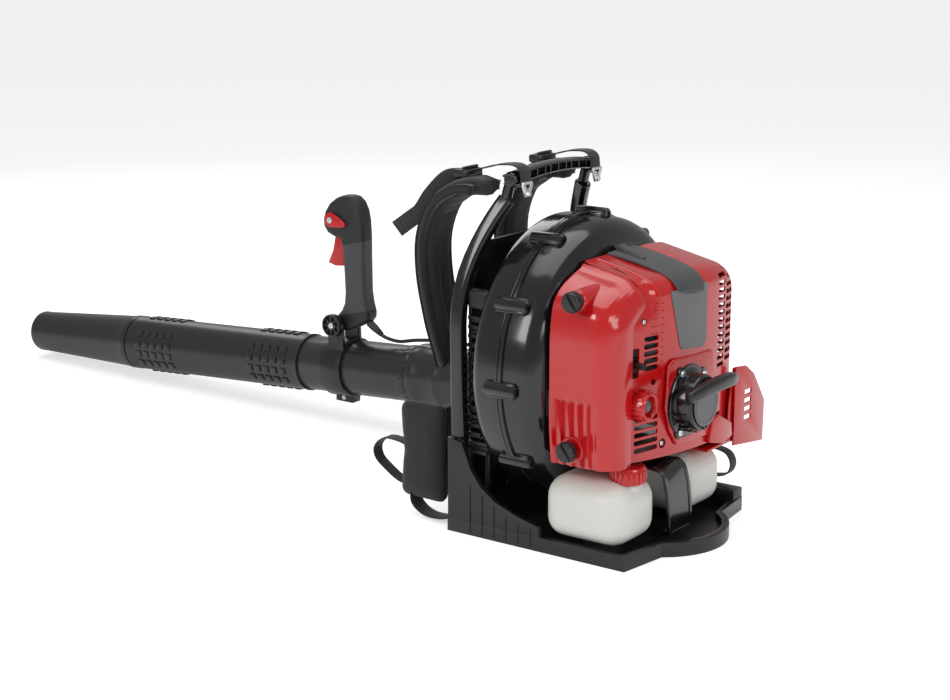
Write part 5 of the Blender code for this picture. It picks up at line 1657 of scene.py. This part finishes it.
class BLOWER_OT_side_cover(bpy.types.Operator):
    """Shape the side cover with its flutes, knob channels, knobs and switch"""

    bl_idname = "blower.side_cover"
    bl_label = "Side cover"

    def execute(self, context):
        bm = shell_box(
            (-0.1640, -0.1440, 0.128),
            (-0.1138, -0.0480, 0.384),
            [(0, 1, 0), (1, 0, 0)],
            [
                (edge_test(1, None, [(0, -1, -0.12), (2, 0.3, 1)]), 0.046, 12),
                (edge_test(1, -0.1440, [(2, 0.14, 1)]), 0.036, 10),
            ],
            (0.007, 0.00172, 0.0035),
            side_shape,
        )
        channel = [(0, 0), (0.0118, 0), (0.0132, 0.0010), (0.0140, 0.0040), (0.0140, 0.052), (0, 0.052)]
        add(bm, spun(channel, 40, closed=False), facing((-0.1636, -0.088, 0.352), (1, 0, 0.02)))
        add(
            bm,
            spun([(0, 0), (0.0165, 0), (0.0180, 0.0015), (0.0180, 0.030), (0, 0.030)], 40, closed=False),
            facing((-0.1632, -0.082, 0.152), (1, 0, 0)),
        )
        piece("side_cover_skin", bm, "cover_gloss", "frame", ("side_cover",), smooth=40.0)
        switch = brick((-0.1165, -0.1425, 0.2620), (-0.1120, -0.1380, 0.2920), 0.0008, 2)
        piece("stop_switch_plate", switch, "seam_dark", "frame")
        bm = brick((-0.1155, -0.1440, 0.2740), (-0.1130, -0.1415, 0.2800), 0.0006, 2)
        piece("stop_switch", bm, "plated_steel", "frame")
        for node, body, y, z in (
            ("side_knob_upper", "knob_upper", -0.088, 0.352), ("side_knob_lower", "knob_lower", -0.082, 0.152)
        ):
            outline = [
                (0, 0.0002),
                (0.0080, 0.0002),
                (0.0125, 0.0020),
                (0.0134, 0.0040),
                (0.0134, 0.0130),
                (0.0122, 0.0150),
                (0.0090, 0.0156),
                (0, 0.0150),
            ]
            bm = spun(outline, 48, closed=False)
            for k in range(12):
                add(
                    bm,
                    brick((-0.0014, 0.0122, 0.0040), (0.0014, 0.0142, 0.0140), 0.0007, 2),
                    Matrix.Rotation(2 * math.pi * k / 12, 4, "Z"),
                )
            add(bm, brick((-0.0030, -0.0125, 0.0120), (0.0030, 0.0125, 0.0188), 0.0014, 3))
            bm.transform(facing((-0.1645, y, z), (-1, 0, 0)) @ Matrix.Rotation(math.radians(35), 4, "Z"))
            piece(node + "_skin", bm, "frame_black", body, (node,))
        return {"FINISHED"}


# ---------------------------------------------------------------- starter and small controls


EAR_ANGLES = (122, 38, 242, -40)


class BLOWER_OT_starter(bpy.types.Operator):
    """Turn the starter drum, flange, disc, rope and grip"""

    bl_idname = "blower.starter"
    bl_label = "Recoil starter"

    def execute(self, context):
        drum = [
            (0, 0),
            (0.0490, 0),
            (0.0500, 0.0010),
            (0.0500, 0.0048),
            (0.0488, 0.0060),
            (0.0420, 0.0064),
            (0.0398, 0.0080),
            (0.0385, 0.0255),
            (0.0375, 0.0285),
            (0.0355, 0.0300),
            (0.0330, 0.0300),
            (0.0320, 0.0292),
            (0, 0.0292),
        ]
        bm = spun(drum, 72, closed=False)
        for turn in EAR_ANGLES:
            ear = spun(
                [(0, 0), (0.0085, 0), (0.0092, 0.0010), (0.0092, 0.0056), (0.0082, 0.0066), (0, 0.0066)],
                28,
                closed=False,
            )
            add(bm, ear, Matrix.Rotation(math.radians(-turn), 4, "Z") @ Matrix.Translation((0.0465, 0, 0)))
        for k in range(9):
            turn = Matrix.Rotation(math.radians(196 + 17 * k), 4, "Z")
            add(bm, brick((0.0370, -0.0016, 0.0060), (0.0420, 0.0016, 0.0220), 0.0008, 2), turn)
        exit_ring = spun(
            [
                (0.0040, 0.0280),
                (0.0075, 0.0280),
                (0.0080, 0.0290),
                (0.0070, 0.0325),
                (0.0045, 0.0330),
                (0.0040, 0.0320),
            ],
            28,
        )
        add(bm, exit_ring, Matrix.Translation((0, -0.029, 0)))
        bm.transform(on_crank(-0.1590))
        piece("starter_drum", bm, "housing_gloss", "frame", ("starter_housing",), smooth=36.0)
        disc = [
            (0, 0),
            (0.0305, 0),
            (0.0315, 0.0006),
            (0.0315, 0.0016),
            (0.0300, 0.0030),
            (0.0270, 0.0035),
            (0.0262, 0.0028),
            (0, 0.0026),
        ]
        bm = carve(
            spun(disc, 64, closed=False, place=on_crank(-0.1893)),
            brick((-0.0085, -0.2, CRANK_Z + 0.0205), (0.0085, -0.1, CRANK_Z + 0.05), 0.002, 2),
        )
        piece("starter_plate", bm, "disc_grey", "frame", ("starter_disc",), smooth=36.0)
        bm = bmesh.new()
        for turn in EAR_ANGLES:
            seat = Matrix.Rotation(math.radians(-turn), 4, "Z") @ Matrix.Translation((0.0465, 0, 0))
            screw(bm, on_crank(-0.1656) @ seat, 0.0052, 0.0032)
        piece("starter_screws", bm, "plated_steel", "frame")
        bm = spun(
            [(0, 0), (0.0022, 0), (0.0022, 0.015), (0.0022, 0.030), (0, 0.030)],
            16,
            closed=False,
            place=Matrix.Translation((0, -0.1690, 0.2260)) @ ALONG_MINUS_Y,
        )
        rope = piece("pull_rope", bm, "rope_braid", "frame", ("starter_rope",))
        rope.parent = None
        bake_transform(rope)
        path = smooth_route(
            [
                (-0.0700, -0.2030, 0.2205),
                (-0.0400, -0.2072, 0.2252),
                (0.0, -0.2090, 0.2275),
                (0.0300, -0.2075, 0.2262),
                (0.0520, -0.2035, 0.2230),
            ],
            8,
        )

        def section(t):
            swell = 1.0 - 0.25 * abs(2 * t - 1) ** 3
            return [
                (
                    0.0082 * swell * math.copysign(abs(math.cos(a)) ** 0.7, math.cos(a)),
                    0.0100 * swell * math.copysign(abs(math.sin(a)) ** 0.7, math.sin(a)),
                )
                for a in [math.pi * k / 10 for k in range(20)]
            ]

        bm = loft(along(path, section, (0, 1, 0)))
        add(
            bm,
            spun(
                [(0, -0.005), (0.0085, -0.005), (0.0070, 0.0020), (0.0040, 0.0060), (0, 0.0060)],
                24,
                closed=False,
            ),
            Matrix.Translation((0, -0.2010, 0.2260)) @ Matrix.Rotation(-math.pi / 2, 4, "X"),
        )
        round_edges(bm, 0.0006, 2, 50)
        piece("pull_grip", bm, "frame_black", "starter", ("starter_grip",), smooth=45.0)
        return {"FINISHED"}


class BLOWER_OT_controls(bpy.types.Operator):
    """Make the primer bulb with its ribbed surround and the choke lever"""

    bl_idname = "blower.controls"
    bl_label = "Primer and choke"

    def execute(self, context):
        place = Matrix.Translation((-0.095, -0.142, 0.208)) @ ALONG_MINUS_Y
        bulb = [
            (0, 0),
            (0.0105, 0),
            (0.0110, 0.0010),
            (0.0110, 0.0090),
            (0.0100, 0.0120),
            (0.0082, 0.0148),
            (0.0052, 0.0168),
            (0.0024, 0.0176),
            (0, 0.0178),
        ]
        piece(
            "primer_skin",
            spun(bulb, 40, closed=False, place=place),
            "disc_grey",
            "primer",
            ("primer_bulb",),
            smooth=60.0,
        )
        ring = [
            (0.0128, -0.004),
            (0.0195, -0.004),
            (0.0200, 0.0000),
            (0.0196, 0.0150),
            (0.0186, 0.0185),
            (0.0165, 0.0200),
            (0.0145, 0.0195),
            (0.0130, 0.0170),
        ]
        bm = spun(ring, 56)
        for k in range(14):
            add(
                bm,
                brick((-0.0017, 0.0180, -0.001), (0.0017, 0.0218, 0.0160), 0.0010, 2),
                Matrix.Rotation(2 * math.pi * k / 14, 4, "Z"),
            )
        bm.transform(place)
        piece("primer_surround", bm, "cover_gloss", "frame", smooth=36.0)
        softened("choke_lever", "choke_skin", "vane_black", "choke", 0.0, smooth=40.0)
        return {"FINISHED"}


class BLOWER_OT_engine(bpy.types.Operator):
    """Give the inner engine nodes their finishes, and the carburettor, filter and muffler welded, smooth-shaded skins
    """

    bl_idname = "blower.engine"
    bl_label = "Engine"

    def execute(self, context):
        looks = {
            "fan": "cast_metal",
            "crankshaft": "plated_steel",
            "flywheel": "cast_metal",
            "crankcase": "cast_metal",
            "cylinder": "cast_metal",
            "piston": "cast_metal",
            "spark_plug": "plated_steel",
            "ignition_coil": "vane_black",
            "throttle_arm": "plated_steel",
        }
        for node, look in looks.items():
            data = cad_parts[node].data
            data.materials.clear()
            data.materials.append(finish(look))
            data.shade_smooth()
            data.set_sharp_from_angle(angle=math.radians(35))
        softened("carburettor", "carburettor_skin", "cast_metal", "frame", 0.0)
        softened("air_filter", "filter_skin", "foam", "frame", 0.0)
        softened("muffler", "muffler_skin", "muffler_steel", "frame", 0.0)
        return {"FINISHED"}


# ---------------------------------------------------------------- harness


def inflated(bm, swell):
    """Puff a closed pad by cloth pressure, with no point moving further than the swell."""
    mesh = bpy.data.meshes.new("pad")
    bm.to_mesh(mesh)
    bm.free()
    pad = bpy.data.objects.new("pad", mesh)
    bpy.context.scene.collection.objects.link(pad)
    remesh = pad.modifiers.new("even", "REMESH")
    remesh.mode = "VOXEL"
    remesh.voxel_size = 0.005
    bpy.context.view_layer.update()
    even = bpy.data.meshes.new_from_object(pad.evaluated_get(bpy.context.evaluated_depsgraph_get()))
    pad.modifiers.clear()
    pad.data = even
    start = [v.co.copy() for v in even.vertices]
    cloth = pad.modifiers.new("puff", "CLOTH")
    cloth.settings.use_pressure = True
    cloth.settings.uniform_pressure_force = 4.0
    cloth.settings.effector_weights.gravity = 0.0
    cloth.settings.quality = 4
    scene = bpy.context.scene
    for step in range(1, 21):
        scene.frame_set(step)
    moved = bpy.data.meshes.new_from_object(pad.evaluated_get(bpy.context.evaluated_depsgraph_get()))
    scene.frame_set(1)
    result = bmesh.new()
    result.from_mesh(moved)
    result.verts.ensure_lookup_table()
    for vert, old in zip(result.verts, start):
        shift = vert.co - old
        if shift.length > swell:
            vert.co = old + shift.normalized() * swell
    for _ in range(2):
        bmesh.ops.smooth_vert(
            result, verts=result.verts, factor=0.4, use_axis_x=True, use_axis_y=True, use_axis_z=True
        )
    bpy.data.objects.remove(pad)
    for data in (mesh, even, moved):
        bpy.data.meshes.remove(data)
    return result


def piping(points, radius=0.0024, closed=True):
    """A round sewn edge along a loop of points."""
    path = [Vector(p) for p in points]
    section = [(radius * math.cos(a), radius * math.sin(a)) for a in [math.pi * k / 5 for k in range(10)]]
    rings = []
    count = len(path)
    for i, point in enumerate(path):
        ahead = (path[(i + 1) % count] - path[i - 1]).normalized() if closed else (
            path[min(i + 1, count - 1)] - path[max(i - 1, 0)]
        ).normalized()
        side = Vector((0, 1, 0)) if abs(ahead.y) < 0.9 else Vector((1, 0, 0))
        side = (side - ahead * side.dot(ahead)).normalized()
        lift = ahead.cross(side)
        rings.append([point + side * s + lift * h for s, h in section])
    return loft(rings, cap=not closed, joined=closed)


class BLOWER_OT_pads(bpy.types.Operator):
    """Puff the back, hip and shoulder pads, and sew their edges"""

    bl_idname = "blower.pads"
    bl_label = "Pads"

    def execute(self, context):
        swell = context.scene.blower_sizes.pad_swell
        back = brick((-0.1000, 0.1095, 0.2090), (0.1000, 0.1230, 0.3940), 0.006, 3)
        self.soft("back_cushion", inflated(back, swell * 0.7), ("back_pad",), 0.5)
        hip = brick((-0.1240, 0.1430, 0.0340), (0.0960, 0.1780, 0.1560), 0.014, 4)
        self.soft("hip_cushion", inflated(hip, swell * 0.7), ("hip_pad",), 0.6)
        for name, x in (("left", -0.126), ("right", 0.093)):
            wing = brick((x - 0.010, 0.1480, 0.0240), (x + 0.010, 0.2260, 0.1660), 0.009, 3)
            made = piece("hip_wing_" + name, inflated(wing, swell * 0.6), "pad_mesh", "frame", smooth=75.0)
        loop = []
        for x, z, turn in ((0.088, 0.148, 0), (-0.116, 0.148, 90), (-0.116, 0.042, 180), (0.088, 0.042, 270)):
            for k in range(5):
                angle = math.radians(turn + 22.5 * k)
                loop.append((x + 0.009 * math.cos(angle), 0.1600, z + 0.009 * math.sin(angle)))
        piece("hip_seam", piping(loop, 0.0026), "pad_edge", "frame", smooth=60.0)
        route = [
            (0.0900, 0.4700),
            (0.1140, 0.4740),
            (0.1400, 0.4680),
            (0.1720, 0.4450),
            (0.1900, 0.4000),
            (0.1900, 0.3500),
            (0.1800, 0.3000),
            (0.1680, 0.2550),
            (0.1600, 0.2200),
        ]
        for name, x in (("left", -0.098), ("right", 0.090)):
            path = smooth_route([(x, y, z) for y, z in route], 4)

            def section(t):
                half = 0.0310 - 0.006 * smooth_step((t - 0.80) / 0.2) - 0.010 * smooth_step((0.15 - t) / 0.15)
                return lens(2 * half, 0.0225, 5)

            bm = inflated(loft(along(path, section, (1, 0, 0))), swell * 0.6)
            self.soft("shoulder_cushion_" + name, bm, ("shoulder_pad_" + name,), 0.5)
            for side in (-1, 1):
                edge = [
                    Vector(
                        (
                            x + side * (0.0300 - 0.006 * smooth_step((i / (len(path) - 1) - 0.80) / 0.2)),
                            p.y,
                            p.z,
                        )
                    )
                    for i, p in enumerate(path)
                ]
                piece(
                    "shoulder_binding_%s_%s" % (name, "in" if side * x < 0 else "out"),
                    loft(along(edge[2:], lens(0.0048, 0.0130, 4), (1, 0, 0))),
                    "pad_edge",
                    "frame",
                    smooth=60.0,
                )
            ribbon = path[4:-2]
            outside = []
            for i, p in enumerate(ribbon):
                ahead = (ribbon[min(i + 1, len(ribbon) - 1)] - ribbon[max(i - 1, 0)]).normalized()
                lift = ahead.cross(Vector((1, 0, 0)))
                lift = lift if lift.y > 0 or lift.z > 0 else -lift
                outside.append(p + lift * 0.0155)
            webbing("shoulder_tape_" + name, outside[::3], "frame", width=0.022, steps=3)
        return {"FINISHED"}

    def soft(self, name, bm, nodes, fill):
        """Finish a padded piece."""
        made = piece(name, bm, "pad_mesh", "frame", nodes, smooth=75.0)
        smoother = made.modifiers.new("smoother", "SUBSURF")
        smoother.levels = smoother.render_levels = 1


class BLOWER_OT_webbing(bpy.types.Operator):
    """Route the webbing: upper straps, loose tail, side loops and buckles"""

    bl_idname = "blower.webbing"
    bl_label = "Webbing"

    def execute(self, context):
        for name, x in (("left", -0.086), ("right", 0.086)):
            route = [
                (x, 0.0452, 0.4775),
                (x, 0.0452, 0.4900),
                (x, 0.0480, 0.5010),
                (x, 0.0600, 0.5068),
                (x, 0.0850, 0.5050),
                (x, 0.1080, 0.4990),
                (x, 0.1300, 0.4930),
            ]
            webbing("strap_" + name + "_web", route, "frame", ("strap_" + name,), width=0.024)
        for name, x in (("left", -0.092), ("right", 0.088)):
            bm = brick((x - 0.0190, 0.1240, 0.4840), (x + 0.0190, 0.1480, 0.4960), 0.0034, 3)
            windows = bmesh.new()
            for y in (0.1275, 0.1345, 0.1415):
                add(windows, brick((x - 0.0130, y, 0.47), (x + 0.0130, y + 0.0036, 0.51), 0.0008, 1))
            bm = carve(bm, windows)
            add(bm, brick((x - 0.0170, 0.1300, 0.4950), (x + 0.0170, 0.1350, 0.5000), 0.0018, 2))
            piece("ladder_buckle_" + name, bm, "frame_black", "frame", ("buckle_" + name,))
        webbing(
            "loose_tail",
            [
                (-0.098, 0.1440, 0.4850),
                (-0.103, 0.1640, 0.4800),
                (-0.110, 0.1860, 0.4560),
                (-0.114, 0.2000, 0.4340),
                (-0.118, 0.2160, 0.4210),
                (-0.122, 0.2360, 0.4060),
            ],
            "frame",
            across=(-0.20, 0.52, 0.58),
            width=0.024,
        )
        webbing(
            "hip_loop_left",
            [
                (-0.125, 0.2120, 0.1000),
                (-0.125, 0.2300, 0.1040),
                (-0.126, 0.2540, 0.1040),
                (-0.127, 0.2700, 0.0900),
                (-0.127, 0.2680, 0.0730),
                (-0.126, 0.2500, 0.0580),
                (-0.125, 0.2300, 0.0460),
                (-0.124, 0.2120, 0.0420),
            ],
            "frame",
            width=0.020,
        )
        webbing(
            "foot_loop_left",
            [
                (-0.122, 0.1900, 0.0560),
                (-0.123, 0.2040, 0.0380),
                (-0.125, 0.2020, 0.0180),
                (-0.129, 0.1780, 0.0060),
                (-0.132, 0.1460, 0.0070),
                (-0.134, 0.1230, 0.0160),
                (-0.134, 0.1120, 0.0260),
            ],
            "frame",
            width=0.026,
        )
        webbing(
            "foot_loop_right",
            [
                (0.100, 0.1900, 0.0560),
                (0.101, 0.2040, 0.0380),
                (0.103, 0.2020, 0.0180),
                (0.108, 0.1780, 0.0060),
                (0.112, 0.1460, 0.0070),
                (0.114, 0.1240, 0.0160),
                (0.114, 0.1140, 0.0260),
            ],
            "frame",
            width=0.026,
        )
        webbing(
            "far_loop",
            [
                (0.1610, -0.0900, 0.0440),
                (0.1640, -0.1120, 0.0420),
                (0.1650, -0.1380, 0.0480),
                (0.1650, -0.1460, 0.0640),
                (0.1640, -0.1380, 0.0800),
                (0.1610, -0.1150, 0.0860),
                (0.1560, -0.0900, 0.0880),
            ],
            "frame",
            width=0.018,
        )
        bm = brick((-0.1330, 0.1260, 0.0420), (-0.1270, 0.1390, 0.0960), 0.0022, 3)
        add(bm, brick((-0.1350, 0.1285, 0.0500), (-0.1325, 0.1365, 0.0540), 0.0009, 2))
        add(bm, brick((-0.1350, 0.1285, 0.0840), (-0.1325, 0.1365, 0.0880), 0.0009, 2))
        piece("hip_buckle", bm, "frame_black", "frame")
        return {"FINISHED"}


# ---------------------------------------------------------------- panel and run

STEPS = (
    BLOWER_OT_stage,
    BLOWER_OT_cable,
    BLOWER_OT_pipe,
    BLOWER_OT_handle,
    BLOWER_OT_housing,
    BLOWER_OT_frame,
    BLOWER_OT_tank,
    BLOWER_OT_front_cover,
    BLOWER_OT_side_cover,
    BLOWER_OT_starter,
    BLOWER_OT_controls,
    BLOWER_OT_engine,
    BLOWER_OT_pads,
    BLOWER_OT_webbing,
)


class BLOWER_PT_steps(bpy.types.Panel):
    """Buttons for each group of pieces, with the sizes and colours they use"""

    bl_idname = "BLOWER_PT_steps"
    bl_label = "Backpack blower"
    bl_space_type = "VIEW_3D"
    bl_region_type = "UI"
    bl_category = "Blower"

    def draw(self, context):
        for group in (context.scene.blower_sizes, context.scene.blower_colours):
            for entry in group.bl_rna.properties:
                if not entry.is_readonly:
                    self.layout.prop(group, entry.identifier)
        for step in STEPS:
            self.layout.operator(step.bl_idname)


CLASSES = (BlowerSizes, BlowerColours, *STEPS, BLOWER_PT_steps)


def register():
    for entry in CLASSES:
        bpy.utils.register_class(entry)
    bpy.types.Scene.blower_sizes = bpy.props.PointerProperty(type=BlowerSizes)
    bpy.types.Scene.blower_colours = bpy.props.PointerProperty(type=BlowerColours)


def unregister():
    del bpy.types.Scene.blower_colours
    del bpy.types.Scene.blower_sizes
    for entry in reversed(CLASSES):
        bpy.utils.unregister_class(entry)


def main():
    """Build every group of pieces in order."""
    register()
    for step in STEPS:
        area, name = step.bl_idname.split(".")
        getattr(getattr(bpy.ops, area), name)()


if __name__ == "__main__":
    main()
